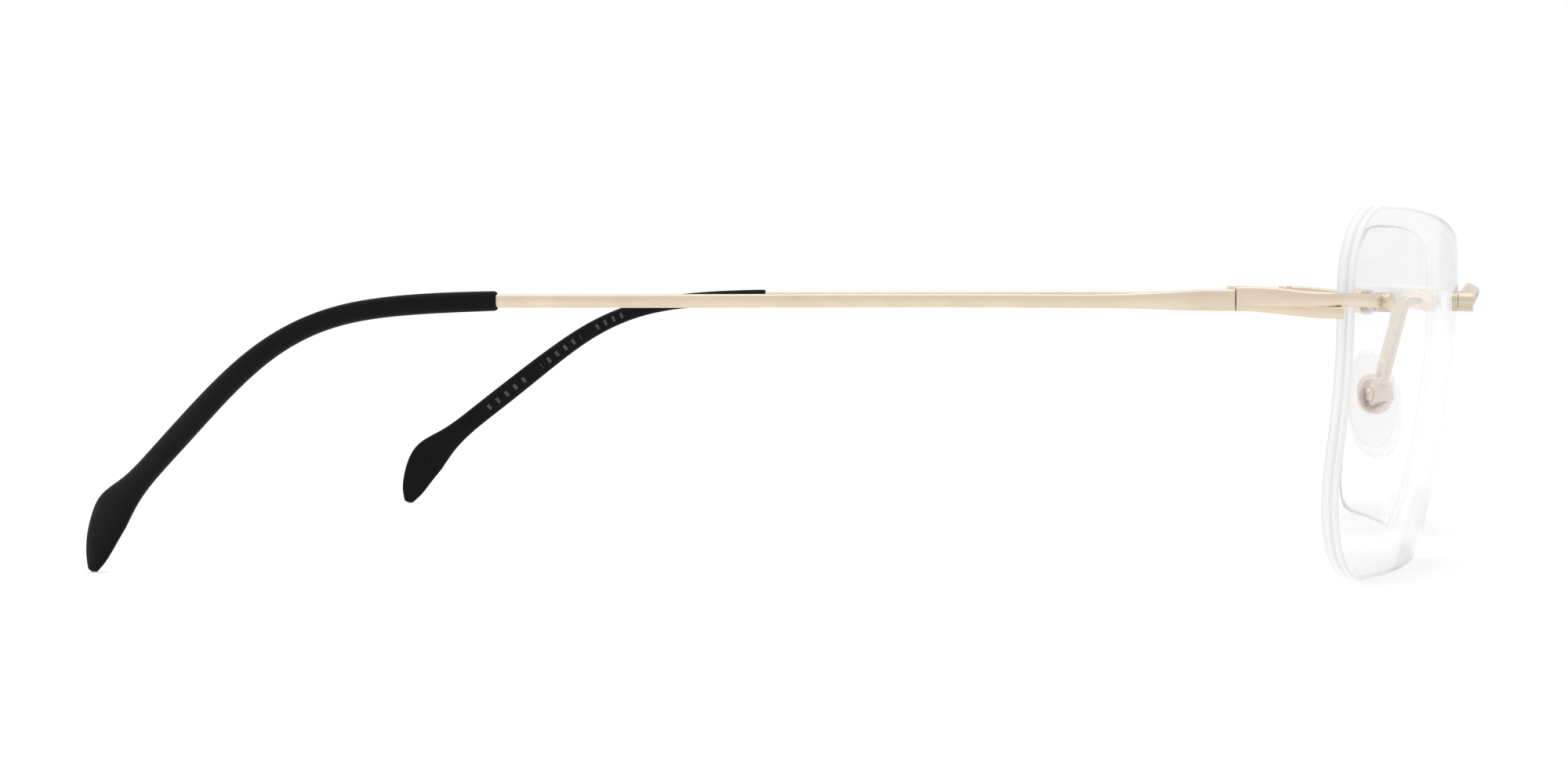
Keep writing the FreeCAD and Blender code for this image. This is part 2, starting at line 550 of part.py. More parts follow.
# rubber tip: sleeve that swells into a leaf-shaped paddle, moulded round the wire
TIP = {7: (2.0, 1.75), 8: (2.16, 1.8), 9: (2.16, 1.8), 10: (2.17, 1.8), 11: (2.22, 1.8), 12: (2.36, 1.8), 13: (2.6, 1.8), 14: (2.84, 1.8), 15: (2.84, 1.8),
       16: (3.0, 1.8), 17: (3.65, 1.8), 18: (4.65, 1.8), 19: (5.1, 1.75), 20: (4.9, 1.7), 21: (4.4, 1.6), 22: (3.65, 1.45), 23: (2.85, 1.25), 24: (1.35, 0.85)}
tip_secs = []
for i, (high, wide) in TIP.items():
    e = section("tip_sec_" + num(i), i, high, wide)
    bind(e, MajorRadius="{tip_thick} / 2 * %.5f" % (high / 1.8), MinorRadius="{tip_thick} / 2 * %.5f" % (wide / 1.8))
    tip_secs.append(e)
tip_solid = loft("tip_outer", tip_secs)
temple_tip_right = cut("temple_tip_right", tip_solid, [core])

# ---------------------------------------------------------------- nose pad assembly (right pad)
sp, ln, rk = (math.radians(S(k)) for k in ("pad_splay", "pad_lean", "pad_rake"))
pad_w = V(-math.sin(sp), math.cos(sp), 0)                       # across the pad, to its rear edge
pad_l = unit(V(math.sin(ln), math.sin(rk), math.cos(ln)))      # up the pad
pad_l = unit(pad_l - pad_w * pad_l.dot(pad_w))
pad_n = unit(pad_w.cross(pad_l))                                # out of the face that meets the nose
if pad_n.x < 0:
    pad_n = pad_n * -1
pad_c = V(-S("pad_half"), hy + S("pad_y"), S("pad_up"))
pad_at = axes(pad_n.cross(pad_w) if (pad_n.cross(pad_w)).dot(pad_l) > 0 else pad_l, pad_w, pad_n, pad_c)
# local axes of pad_at: X along pad_l, Y along pad_w, Z along pad_n
x_l = unit(pad_w.cross(pad_n))
pad_at = axes(x_l, pad_w, pad_n, pad_c)
sgn = 1.0 if x_l.dot(pad_l) > 0 else -1.0                      # +1 when local X points up the pad


def at_pad(lx, wy, nz):
    return FreeCAD.Placement(V(sgn * lx, wy, nz), FreeCAD.Rotation())


dome = doc.addObject("Part::Ellipsoid", "pad_dome")
bind(dome, Radius1="{pad_front}", Radius2="{pad_long} / 2", Radius3="{pad_wide} / 2", Angle1="-90", Angle2="90", Angle3="360")
dome.Placement = pad_at
shell = doc.addObject("Part::Cylinder", "pad_slab")
bind(shell, Radius="20", Height="{pad_front} + {pad_back} - 0.15")
shell.Placement = pad_at.multiply(FreeCAD.Placement(V(0, 0, -S("pad_back")), FreeCAD.Rotation()))
pad_blank = doc.addObject("Part::MultiCommon", "pad_blank")
pad_blank.Shapes = [dome, shell]
insert = doc.addObject("Part::Ellipsoid", "insert_round")
bind(insert, Radius1="20", Radius2="{insert_long} / 2", Radius3="{insert_wide} / 2", Angle1="-90", Angle2="90", Angle3="360")
insert.Placement = pad_at.multiply(FreeCAD.Placement(V(sgn * S("pivot_up"), 0, 0), FreeCAD.Rotation()))
insert_slab = cylinder("insert_slab", pad_at, "20", "{insert_thick}", -S("pad_back"))
insert_plate = doc.addObject("Part::MultiCommon", "insert_plate")
insert_plate.Shapes = [insert, insert_slab]
pivot = pad_at.multVec(V(sgn * S("pivot_up"), 0, -S("pivot_back")))
# pivot frame: local Z along pad_w (the rocking axis), local X along the pad normal
piv = axes(pad_n, unit(pad_w.cross(pad_n)), pad_w, pivot)
lug_round = cylinder("lug_round", piv, "{lug_round} / 2", "{lug_thick}", -S("lug_thick") / 2)
lug_neck = box("lug_neck", piv, "{pivot_back} - {pad_back} + 0.1", "{lug_round} - 0.2", "{lug_thick}",
               V(0, -(S("lug_round") - 0.2) / 2, -S("lug_thick") / 2))
lug_bore = cylinder("lug_bore", piv, "{pad_screw} / 2 + 0.05", "4", -2)
pad_insert_right = cut("pad_insert_right", fuse("pad_insert_solid", [insert_plate, lug_round, lug_neck]), [lug_bore])
nose_pad_right = cut("nose_pad_right", pad_blank, [insert_plate])

# box that holds the lug: back wall and two cheeks
back_in = S("lug_round") / 2 + 0.12
box_outer = box("box_outer", piv, "%.4f" % (back_in + S("box_wall") + 0.72), "{box_long}", "{box_wide}",
                V(-(back_in + S("box_wall")), -S("box_long") / 2, -S("box_wide") / 2))
box_room = box("box_room", piv, "6", "{box_long} + 2", "{box_slot}", V(-back_in, -S("box_long") / 2 - 1, -S("box_slot") / 2))
box_bore = cylinder("box_bore", piv, "{pad_screw} / 2", "6", -3)
pad_box_right = cut("pad_box_right", box_outer, [box_room, box_bore])
pad_screw_right = slotted_screw("pad_screw_right", piv, "{pad_screw} / 2", "{pad_screw} * 0.8", "0.3", "{box_wide} + 0.02", -S("box_wide") / 2, S("box_wide") / 2 + 0.01)

# pad arm: eyelet on the stud, wire to the rear, bend, wire down to the box
eye_c = nasal.multVec(V(0, 0, stack - S("eyelet_thick") / 2))
tab_out = S("nut_width") / 2 / math.cos(math.pi / 6) + S("arm_wide") / 2 + 0.08
tab_dir = unit(V(1, 0, 0) - nasal.Rotation.multVec(V(0, 0, 1)) * nasal.Rotation.multVec(V(0, 0, 1)).x)
knee = V(eye_c.x + tab_out - 0.35, hy - 16.8, 29.75)
heel = piv.multVec(V(-(back_in + S("box_wall") * 0.5), (1 if piv.Rotation.multVec(V(0, 1, 0)).z > 0 else -1) * S("box_long") * 0.32, 0))
tab_end = eye_c + tab_dir * tab_out
d1, d2 = unit(knee - tab_end), unit(heel - knee)
begin = tab_end - d1 * 0.2
arm_body = doc.addObject("PartDesign::Body", "pad_arm_wire")
route = sketch_on(arm_body, "pad_arm_route", "XY_Plane")
ax = d1
az = unit(d1.cross(d2))
ay = unit(az.cross(ax))
l1 = (knee - begin).Length
tn = math.acos(d1.dot(d2))
rr = S("arm_bend")
tt = rr * math.tan(tn / 2)
e2 = V((heel - begin).dot(ax), (heel - begin).dot(ay), 0)
k2 = V(l1, 0, 0)
dd = unit(e2 - k2)
route.addGeometry([
    Part.LineSegment(V(0, 0, 0), V(l1 - tt, 0, 0)),
    Part.ArcOfCircle(Part.Circle(V(l1 - tt, rr, 0), V(0, 0, 1), rr), -math.pi / 2, -math.pi / 2 + tn),
    Part.LineSegment(k2 + dd * tt, e2),
], False)
route.addConstraint([C("Coincident", 0, 1, -1, 1), C("PointOnObject", 0, 2, -1), C("Tangent", 0, 2, 1, 1), C("Tangent", 1, 2, 2, 1)])
i = route.addConstraint(C("Radius", 1, rr))
route.renameConstraint(i, "bend")
bind(route, **{"Constraints.bend": "{arm_bend}"})
route.addConstraint(C("DistanceX", 0, 1, 0, 2, l1 - tt))
route.addConstraint(C("DistanceX", -1, 1, 2, 2, e2.x))
route.addConstraint(C("DistanceY", -1, 1, 2, 2, e2.y))
cross = sketch_on(arm_body, "pad_arm_section", "YZ_Plane")
cross.addGeometry(Part.Ellipse(V(0, 0, 0), S("arm_wide") / 2, S("arm_thick") / 2), False)
cross.exposeInternalGeometry(0)
doc.recompute()
pipe = arm_body.newObject("PartDesign::AdditivePipe", "pad_arm_pipe")
pipe.Profile = cross
pipe.Spine = (route, ["Edge1", "Edge2", "Edge3"])
pipe.Mode = "Frenet" if False else "Standard"
doc.recompute()
arm_body.Placement = axes(ax, ay, az, begin)
eye = cylinder("pad_arm_eyelet", nasal, "{eyelet} / 2", "{eyelet_thick}", stack - S("eyelet_thick"))
tab_place = axes(tab_dir, nasal.Rotation.multVec(V(0, 0, 1)).cross(tab_dir), nasal.Rotation.multVec(V(0, 0, 1)), eye_c)
tab = box("pad_arm_tab", tab_place, "%.4f" % (tab_out + S("arm_wide") / 2), "{arm_wide} + 0.2", "{eyelet_thick}",
          V(0, -(S("arm_wide") + 0.2) / 2, -S("eyelet_thick") / 2))
eye_bore = cylinder("pad_arm_bore", nasal, "{stud} / 2", "10", -6)
arm_clear = box("pad_arm_clear", piv, "%.4f" % (back_in + S("box_wall") + 0.72), "{box_long}", "{box_wide}",
                V(-(back_in + S("box_wall")), -S("box_long") / 2, -S("box_wide") / 2))
pad_arm_right = cut("pad_arm_right", fuse("pad_arm_blank", [arm_body, eye, tab]), [eye_bore, arm_clear])

# ---------------------------------------------------------------- twins and names
RIGHT = {"lens_right": lens_right, "end_piece_right": end_piece_right, "hinge_screw_right": hinge_screw_right, "temple_right": temple_right,
         "temple_tip_right": temple_tip_right, "nose_pad_right": nose_pad_right, "pad_insert_right": pad_insert_right,
         "pad_box_right": pad_box_right, "pad_screw_right": pad_screw_right, "pad_arm_right": pad_arm_right}
pieces = {"bridge": bridge, "lens_bushings": bushings, "end_piece_washers": washers, "lens_nuts": nuts}
for name, obj in RIGHT.items():
    obj.Label = name
    pieces[name] = obj
    pieces[name.replace("_right", "_left")] = mirrored(name.replace("_right", "_left"), obj)
bridge.Label = "bridge"
doc.recompute()

# ---------------------------------------------------------------- checks, then one STEP file per piece
bad = [o.Label for o in doc.Objects if "Invalid" in o.State or "Error" in o.State]
if bad:
    raise RuntimeError("failed objects: " + ", ".join(bad))
os.makedirs("parts", exist_ok=True)
low, high = V(1e9, 1e9, 1e9), V(-1e9, -1e9, -1e9)
for name, obj in sorted(pieces.items()):
    shape = obj.Shape
    if shape.isNull() or not shape.isValid() or not shape.Solids:
        raise RuntimeError("bad shape: " + name)
    b = shape.optimalBoundingBox(False, False)
    low = V(min(low.x, b.XMin), min(low.y, b.YMin), min(low.z, b.ZMin))
    high = V(max(high.x, b.XMax), max(high.y, b.YMax), max(high.z, b.ZMax))
    print("%-20s solids %d volume %8.2f  x %.2f..%.2f y %.2f..%.2f z %.2f..%.2f" % (
        name, len(shape.Solids), shape.Volume, b.XMin, b.XMax, b.YMin, b.YMax, b.ZMin, b.ZMax))
    shape.exportStep("parts/%s.step" % name)
print("whole x %.3f..%.3f y %.3f..%.3f z %.3f..%.3f" % (low.x, high.x, low.y, high.y, low.z, high.z))
print("lowest lens %.4f tip %.4f" % (lens_right.Shape.optimalBoundingBox(False, False).ZMin, temple_tip_right.Shape.optimalBoundingBox(False, False).ZMin))
print("hinge axis right", -half_x, hy, z0)
print("pad pivot right", tuple(round(c, 4) for c in pivot), "axis", tuple(round(c, 5) for c in pad_w))
print("nasal hole", tuple(round(c, 4) for c in nasal.Base), "dir", tuple(round(c, 5) for c in nasal.Rotation.multVec(V(0, 0, 1))))
print("temple hole", tuple(round(c, 4) for c in temporal.Base), "dir", tuple(round(c, 5) for c in temporal.Rotation.multVec(V(0, 0, 1))))
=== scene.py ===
import math
import bmesh
import bpy
from mathutils import Vector, Matrix, geometry


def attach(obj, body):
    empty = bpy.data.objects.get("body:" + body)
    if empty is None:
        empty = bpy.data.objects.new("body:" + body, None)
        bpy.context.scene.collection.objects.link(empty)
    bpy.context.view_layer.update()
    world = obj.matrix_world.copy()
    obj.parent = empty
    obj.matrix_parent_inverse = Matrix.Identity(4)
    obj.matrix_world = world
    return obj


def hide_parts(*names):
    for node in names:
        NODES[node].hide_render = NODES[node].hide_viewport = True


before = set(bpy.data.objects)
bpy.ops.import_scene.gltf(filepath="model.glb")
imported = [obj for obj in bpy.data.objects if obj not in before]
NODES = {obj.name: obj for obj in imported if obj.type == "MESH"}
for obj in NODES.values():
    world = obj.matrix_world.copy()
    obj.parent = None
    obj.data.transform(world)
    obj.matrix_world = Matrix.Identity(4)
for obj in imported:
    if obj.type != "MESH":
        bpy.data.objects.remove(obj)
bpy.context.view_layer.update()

V = Vector
MM = 0.001

# ------------------------------------------------------------------ sizes shared with the design (mm, row frame)
HINGE_Y, HINGE_Z, HINGE_X = -51.58, 30.05, 64.75
WRAP, TILT = math.radians(11.93), math.radians(6.77)
CURVE, THICK = 114.6, 1.8
SIDE = V((-math.cos(WRAP), math.sin(WRAP), 0.0))
FLAT = V((-math.sin(WRAP), -math.cos(WRAP), 0.0))
UP = V((0.0, 0.0, math.cos(TILT))) + FLAT * math.sin(TILT)
AHEAD = FLAT * math.cos(TILT) - V((0.0, 0.0, math.sin(TILT)))
MIDDLE = V((-8.5 - 26.5 * math.cos(WRAP), HINGE_Y - 19.39, 19.18))
NASAL, TEMPORAL, HOLE = (-22.06, 10.06), (21.33, 10.26), 0.965
PATH = [  # behind the hinge, half width, height
    (0.0, 66.5, 30.05), (6.0, 66.78, 29.97), (13.6, 67.1, 29.95), (28.3, 67.7, 30.05), (42.0, 67.95, 30.1), (56.5, 68.0, 30.13), (68.0, 67.95, 30.17),
    (76.2, 67.88, 30.22), (82.86, 67.78, 30.01), (88.33, 67.57, 29.62), (92.99, 67.04, 28.92), (97.4, 66.28, 27.65), (102.09, 65.27, 25.42), (107.36, 63.75, 21.76),
    (113.56, 61.13, 16.62), (117.65, 59.17, 13.17), (120.37, 57.92, 10.81), (122.23, 57.09, 9.16), (123.79, 56.43, 7.72), (124.8, 56.02, 6.6), (125.56, 55.71, 5.39),
    (126.17, 55.47, 4.15), (126.78, 55.25, 2.68), (127.19, 55.09, 1.55), (127.62, 54.92, 0.26)]
TIP = {7: (2.0, 1.75), 8: (2.16, 1.8), 9: (2.16, 1.8), 10: (2.17, 1.8), 11: (2.22, 1.8), 12: (2.36, 1.8), 13: (2.6, 1.8), 14: (2.84, 1.8), 15: (2.84, 1.8),
       16: (3.0, 1.8), 17: (3.65, 1.8), 18: (4.65, 1.8), 19: (5.1, 1.75), 20: (4.9, 1.7), 21: (4.4, 1.6), 22: (3.65, 1.45), 23: (2.85, 1.25), 24: (1.35, 0.85)}


# ------------------------------------------------------------------ small helpers
def mesh_object(name, points, faces, smooth=True, mirror=False):
    """Points in mm, in the row frame; mirror makes the wearer's-left twin."""
    if mirror:
        points = [V((-p[0], p[1], p[2])) for p in points]
        faces = [tuple(reversed(f)) for f in faces]
    me = bpy.data.meshes.new(name)
    me.from_pydata([tuple(V(p) * MM) for p in points], [], faces)
    me.validate()
    me.update()
    o = bpy.data.objects.new(name, me)
    bpy.context.scene.collection.objects.link(o)
    if smooth:
        for p in me.polygons:
            p.use_smooth = True
    return o


def sharp_by_angle(o, degrees):
    me = o.data
    me.update()
    normals = [p.normal.copy() for p in me.polygons]
    owners = {}
    for p in me.polygons:
        for k in p.edge_keys:
            owners.setdefault(k, []).append(p.index)
    limit = math.cos(math.radians(degrees))
    for e in me.edges:
        f = owners.get(tuple(sorted(e.vertices)), [])
        e.use_edge_sharp = len(f) == 2 and normals[f[0]].dot(normals[f[1]]) < limit


def outward(o):
    """Turns every face of a closed mesh outward."""
    bm = bmesh.new()
    bm.from_mesh(o.data)
    bmesh.ops.recalc_face_normals(bm, faces=bm.faces)
    bm.to_mesh(o.data)
    bm.free()
    o.data.update()


def spline(values, count):
    """Natural cubic spline through a list of vectors; returns the curve as a function of its parameter, and its knots.
    count is not used.
    """
    n = len(values)
    dim = len(values[0])
    knots = [0.0]
    for a, b in zip(values[:-1], values[1:]):
        knots.append(knots[-1] + max(1e-6, (V(b[:3]) - V(a[:3])).length ** 0.75))
    out_coeff = []
    for d in range(dim):
        y = [v[d] for v in values]
        a, b, c, r = [0.0] * n, [1.0] * n, [0.0] * n, [0.0] * n
        for i in range(1, n - 1):
            h0, h1 = knots[i] - knots[i - 1], knots[i + 1] - knots[i]
            a[i], b[i], c[i] = h0, 2 * (h0 + h1), h1
            r[i] = 6 * ((y[i + 1] - y[i]) / h1 - (y[i] - y[i - 1]) / h0)
        for i in range(1, n):
            w = a[i] / b[i - 1]
            b[i] -= w * c[i - 1]
            r[i] -= w * r[i - 1]
        m = [0.0] * n
        m[-1] = r[-1] / b[-1]
        for i in range(n - 2, -1, -1):
            m[i] = (r[i] - c[i] * m[i + 1]) / b[i]
        m[0] = m[-1] = 0.0
        out_coeff.append((y, m))

    def at(t):
        i = 0
        while i < n - 2 and t > knots[i + 1]:
            i += 1
        h = knots[i + 1] - knots[i]
        p, q = (knots[i + 1] - t) / h, (t - knots[i]) / h
        return [p * y[i] + q * y[i + 1] + ((p ** 3 - p) * m[i] + (q ** 3 - q) * m[i + 1]) * h * h / 6 for y, m in out_coeff]
    return at, knots


def rings_to_mesh(rings, close_start=True, close_end=True):
    """Closed rings with the same number of points, joined into a skin; ends closed by a fan round their middle."""
    pts = [p for r in rings for p in r]
    n = len(rings[0])
    faces = []
    for i in range(len(rings) - 1):
        for j in range(n):
            k = (j + 1) % n
            faces.append((i * n + j, i * n + k, (i + 1) * n + k, (i + 1) * n + j))
    for closed, base, flip in ((close_start, 0, True), (close_end, (len(rings) - 1) * n, False)):
        if closed:
            ring = rings[0] if flip else rings[-1]
            mid = sum((V(p) for p in ring), V((0, 0, 0))) / n
            pts.append(mid)
            m = len(pts) - 1
            for j in range(n):
                k = (j + 1) % n
                faces.append((base + k, base + j, m) if flip else (base + j, base + k, m))
    return pts, faces


# ------------------------------------------------------------------ materials
def new_material(name):
    m = bpy.data.materials.new(name)
    m.use_nodes = True
    t = m.node_tree
    t.nodes.clear()
    out = t.nodes.new("ShaderNodeOutputMaterial")
    bsdf = t.nodes.new("ShaderNodeBsdfPrincipled")
    t.links.new(bsdf.outputs[0], out.inputs[0])
    return m, t, bsdf


def node(t, kind, **values):
    n = t.nodes.new(kind)
    for k, v in values.items():
        if k in n.inputs:
            n.inputs[k].default_value = v
        else:
            setattr(n, k, v)
    return n


def coords(t, scale=(1, 1, 1)):
    """Object coordinates in millimetres (objects are in metres and sit at the origin)."""
    c = t.nodes.new("ShaderNodeTexCoord")
    m = t.nodes.new("ShaderNodeMapping")
    m.inputs["Scale"].default_value = tuple(1000.0 * s for s in scale)
    t.links.new(c.outputs["Object"], m.inputs["Vector"])
    return m.outputs["Vector"]


def noise(t, vec, scale, detail=3.0, rough=0.55):
    n = t.nodes.new("ShaderNodeTexNoise")
    n.inputs["Scale"].default_value = scale
    n.inputs["Detail"].default_value = detail
    n.inputs["Roughness"].default_value = rough
    t.links.new(vec, n.inputs["Vector"])
    return n.outputs["Fac"]


def ramp(t, fac, stops):
    r = t.nodes.new("ShaderNodeValToRGB")
    e = r.color_ramp.elements
    while len(e) < len(stops):
        e.new(0.5)
    for i, (pos, col) in enumerate(stops):
        e[i].position = pos
        e[i].color = (*col, 1.0) if len(col) == 3 else col
    t.links.new(fac, r.inputs["Fac"])
    return r.outputs["Color"]


def spread(t, fac, lo, hi, a=0.3, b=0.7):
    r = t.nodes.new("ShaderNodeMapRange")
    r.inputs["From Min"].default_value, r.inputs["From Max"].default_value = a, b
    r.inputs["To Min"].default_value, r.inputs["To Max"].default_value = lo, hi
    t.links.new(fac, r.inputs["Value"])
    return r.outputs["Result"]


def bump(t, height, bsdf, strength, distance, base=None):
    b = t.nodes.new("ShaderNodeBump")
    b.inputs["Strength"].default_value = strength
    b.inputs["Distance"].default_value = distance
    t.links.new(height, b.inputs["Height"])
    if base is not None:
        t.links.new(base, b.inputs["Normal"])
    t.links.new(b.outputs["Normal"], bsdf.inputs["Normal"])
    return b


def soft_edges(t, radius):
    b = t.nodes.new("ShaderNodeBevel")
    b.samples = 6
    b.inputs["Radius"].default_value = radius
    return b.outputs["Normal"]


def gold(name, light, dark, rough=0.3, edge=0.00012, grain=(0.25, 1.0, 1.0), metallic=1.0):
    """Satin pale gold plating: faint drawn grain along the part, slow colour drift."""
    m, t, b = new_material(name)
    vec = coords(t)
    drift = noise(t, vec, 0.22, 2.0)
    col = ramp(t, drift, [(0.3, dark), (0.7, light)])
    t.links.new(col, b.inputs["Base Color"])
    b.inputs["Metallic"].default_value = metallic
    fine = noise(t, coords(t, (3.0, 0.35, 3.0)), 2.2, 4.0, 0.6)
    t.links.new(spread(t, fine, rough - 0.06, rough + 0.08), b.inputs["Roughness"])
    bump(t, fine, b, 0.12, 0.00002, soft_edges(t, edge))
    return m


GOLD = gold("satin_pale_gold", (0.72, 0.615, 0.485), (0.66, 0.56, 0.435), 0.28)
GOLD_BAR = gold("satin_pale_gold_bars", (0.72, 0.615, 0.485), (0.66, 0.56, 0.435), 0.26, 0.00002)
GOLD_BRIGHT = gold("polished_gold", (0.86, 0.70, 0.50), (0.78, 0.62, 0.42), 0.16, 0.00006)
GOLD_PAD = gold("pad_fitting_gold", (0.76, 0.64, 0.545), (0.66, 0.53, 0.44), 0.22, 0.00004)


def rubber(name, print_side=None):
    """Matte black moulded rubber: fine pore bump, slightly dusty, a few lint specks."""
    m, t, b = new_material(name)
    vec = coords(t)
    cloud = noise(t, vec, 0.35, 4.0, 0.6)
    col = ramp(t, cloud, [(0.25, (0.0022, 0.0022, 0.0023)), (0.75, (0.0042, 0.0041, 0.0041))])
    # lint: rare bright points of a fine cell pattern
    cells = t.nodes.new("ShaderNodeTexVoronoi")
    cells.feature = "F1"
    cells.inputs["Scale"].default_value = 0.6
    cells.inputs["Randomness"].default_value = 1.0
    t.links.new(coords(t, (1.0, 1.4, 1.8)), cells.inputs["Vector"])
    speck = spread(t, cells.outputs["Distance"], 1.0, 0.0, 0.035, 0.06)
    fade = noise(t, vec, 0.8, 1.0)
    mul = t.nodes.new("ShaderNodeMath")
    mul.operation = "MULTIPLY"
    mul.use_clamp = True
    t.links.new(speck, mul.inputs[0])
    t.links.new(spread(t, fade, 0.0, 0.5, 0.5, 0.62), mul.inputs[1])
    mix = t.nodes.new("ShaderNodeMix")
    mix.data_type = "RGBA"
    t.links.new(mul.outputs[0], mix.inputs["Factor"])
    t.links.new(col, mix.inputs["A"])
    mix.inputs["B"].default_value = (0.16, 0.16, 0.165, 1.0)
    # a row of short plain printed dashes on the inner face, u along the tip and v across it in mm
    uv = t.nodes.new("ShaderNodeUVMap")
    uv.uv_map = "run"
    parts = t.nodes.new("ShaderNodeSeparateXYZ")
    t.links.new(uv.outputs["UV"], parts.inputs["Vector"])

    def calc(kind, a, c=None):
        k = t.nodes.new("ShaderNodeMath")
        k.operation = kind
        for i, v_ in enumerate((a, c)):
            if v_ is None:
                continue
            if isinstance(v_, (int, float)):
                k.inputs[i].default_value = v_
            else:
                t.links.new(v_, k.inputs[i])
        return k.outputs[0]
    u_, v_ = parts.outputs["X"], parts.outputs["Y"]
    tick = calc("LESS_THAN", calc("FRACT", calc("MULTIPLY", u_, 0.85)), 0.3)
    gap = calc("GREATER_THAN", calc("FRACT", calc("MULTIPLY", u_, 0.137)), 0.22)
    across = calc("LESS_THAN", calc("ABSOLUTE", v_), 0.42)
    zone = calc("MULTIPLY", calc("GREATER_THAN", u_, 97.0), calc("LESS_THAN", u_, 118.5))
    marks = calc("MULTIPLY", calc("MULTIPLY", tick, gap), calc("MULTIPLY", across, zone))
    worn = calc("MULTIPLY", marks, spread(t, noise(t, vec, 0.9, 2.0), 0.7, 1.0))
    ink = t.nodes.new("ShaderNodeMix")
    ink.data_type = "RGBA"
    t.links.new(worn, ink.inputs["Factor"])
    t.links.new(mix.outputs["Result"], ink.inputs["A"])
    ink.inputs["B"].default_value = (0.075, 0.077, 0.08, 1.0)
    t.links.new(ink.outputs["Result"], b.inputs["Base Color"])
    grain = noise(t, vec, 9.0, 3.0, 0.7)
    t.links.new(spread(t, cloud, 0.42, 0.56), b.inputs["Roughness"])
    b.inputs["Specular IOR Level"].default_value = 0.09
    bump(t, grain, b, 0.25, 0.000012)
    return m


RUBBER = rubber("black_tip_rubber")


def clear(name, tint, rough, ior=1.5, smudge=0.0, scale=0.06):
    m, t, b = new_material(name)
    vec = coords(t)
    patch = noise(t, vec, scale, 3.0, 0.6)
    col = ramp(t, patch, [(0.3, tint), (0.7, tuple(min(1.0, c + 0.008) for c in tint))])
    t.links.new(col, b.inputs["Base Color"])
    b.inputs["Transmission Weight"].default_value = 1.0
    b.inputs["IOR"].default_value = ior
    t.links.new(spread(t, patch, rough, rough + smudge), b.inputs["Roughness"])
    return m, t, b, patch


LENS, _t, _b, _p = clear("lens_clear", (0.925, 0.928, 0.932), 0.0, 1.5, 0.012)


def ground_edge():
    """Polished cut edge of the lens: milky pale grey with fine lines that run round the rim, with painted reflection
    and shade as lighter and darker bands across its thickness, and a painted glow.
    """
    m, t, b = new_material("lens_ground_edge")
    uv = t.nodes.new("ShaderNodeUVMap")
    uv.uv_map = "wall"
    stretch = t.nodes.new("ShaderNodeMapping")
    stretch.inputs["Scale"].default_value = (0.05, 9.0, 1.0)
    t.links.new(uv.outputs["UV"], stretch.inputs["Vector"])
    lines = noise(t, stretch.outputs["Vector"], 1.0, 3.0, 0.65)
    parts = t.nodes.new("ShaderNodeSeparateXYZ")
    t.links.new(uv.outputs["UV"], parts.inputs["Vector"])
    # painted reflection and shade: fixed lighter and darker bands across the edge's thickness, darker on the bevels
    painted_light_bands = ramp(t, parts.outputs["Y"], [(0.0, (0.60, 0.60, 0.60)), (0.1, (0.66, 0.66, 0.66)), (0.3, (0.70, 0.70, 0.70)), (0.42, (0.57, 0.575, 0.58)),
                                        (0.55, (0.67, 0.67, 0.67)), (0.78, (0.71, 0.71, 0.71)), (0.9, (0.60, 0.605, 0.61)), (1.0, (0.63, 0.63, 0.63))])
    streak = ramp(t, lines, [(0.3, (0.89, 0.895, 0.9)), (0.5, (1.0, 1.0, 1.0)), (0.7, (0.93, 0.935, 0.94))])
    mix = t.nodes.new("ShaderNodeMix")
    mix.data_type = "RGBA"
    mix.blend_type = "MULTIPLY"
    mix.inputs["Factor"].default_value = 1.0
    t.links.new(painted_light_bands, mix.inputs["A"])
    t.links.new(streak, mix.inputs["B"])
    t.links.new(mix.outputs["Result"], b.inputs["Base Color"])
    b.inputs["Transmission Weight"].default_value = 0.12
    # painted glow: the emission on the edge stands in for light piped through the lens to its rim
    t.links.new(mix.outputs["Result"], b.inputs["Emission Color"])      # light piped through the lens leaves at its rim
    b.inputs["Emission Strength"].default_value = 0.36
    b.inputs["IOR"].default_value = 1.5
    t.links.new(spread(t, lines, 0.2, 0.4), b.inputs["Roughness"])
    bump(t, lines, b, 0.12, 0.00001)
    return m


LENS_EDGE = ground_edge()


def silicone(name="clear_silicone"):
    """Clear soft pad: almost see-through, paler and denser where the surface turns away."""
    m, t, b = new_material(name)
    vec = coords(t)
    cloud = noise(t, vec, 0.5, 3.0)
    col = ramp(t, cloud, [(0.3, (0.86, 0.845, 0.835)), (0.7, (0.94, 0.93, 0.925))])
    t.links.new(col, b.inputs["Base Color"])
    b.inputs["Transmission Weight"].default_value = 0.3
    b.inputs["IOR"].default_value = 1.41
    t.links.new(spread(t, cloud, 0.12, 0.25), b.inputs["Roughness"])
    wave = noise(t, vec, 1.6, 2.0)
    bump(t, wave, b, 0.10, 0.00003)
    see = t.nodes.new("ShaderNodeBsdfTransparent")
    see.inputs["Color"].default_value = (0.985, 0.98, 0.978, 1.0)
    turn = t.nodes.new("ShaderNodeLayerWeight")
    turn.inputs["Blend"].default_value = 0.35
    mix = t.nodes.new("ShaderNodeMixShader")
    t.links.new(spread(t, turn.outputs["Facing"], 0.10, 0.62, 0.15, 0.95), mix.inputs["Fac"])
    t.links.new(see.outputs[0], mix.inputs[1])
    t.links.new(b.outputs[0], mix.inputs[2])
    out = next(n for n in t.nodes if n.type == "OUTPUT_MATERIAL")
    t.links.new(mix.outputs[0], out.inputs["Surface"])
    return m


PAD = silicone()
BUSHING = silicone("clear_bushing")


def paint(o, material):
    o.data.materials.clear()
    o.data.materials.append(material)
    for p in o.data.polygons:
        p.material_index = 0


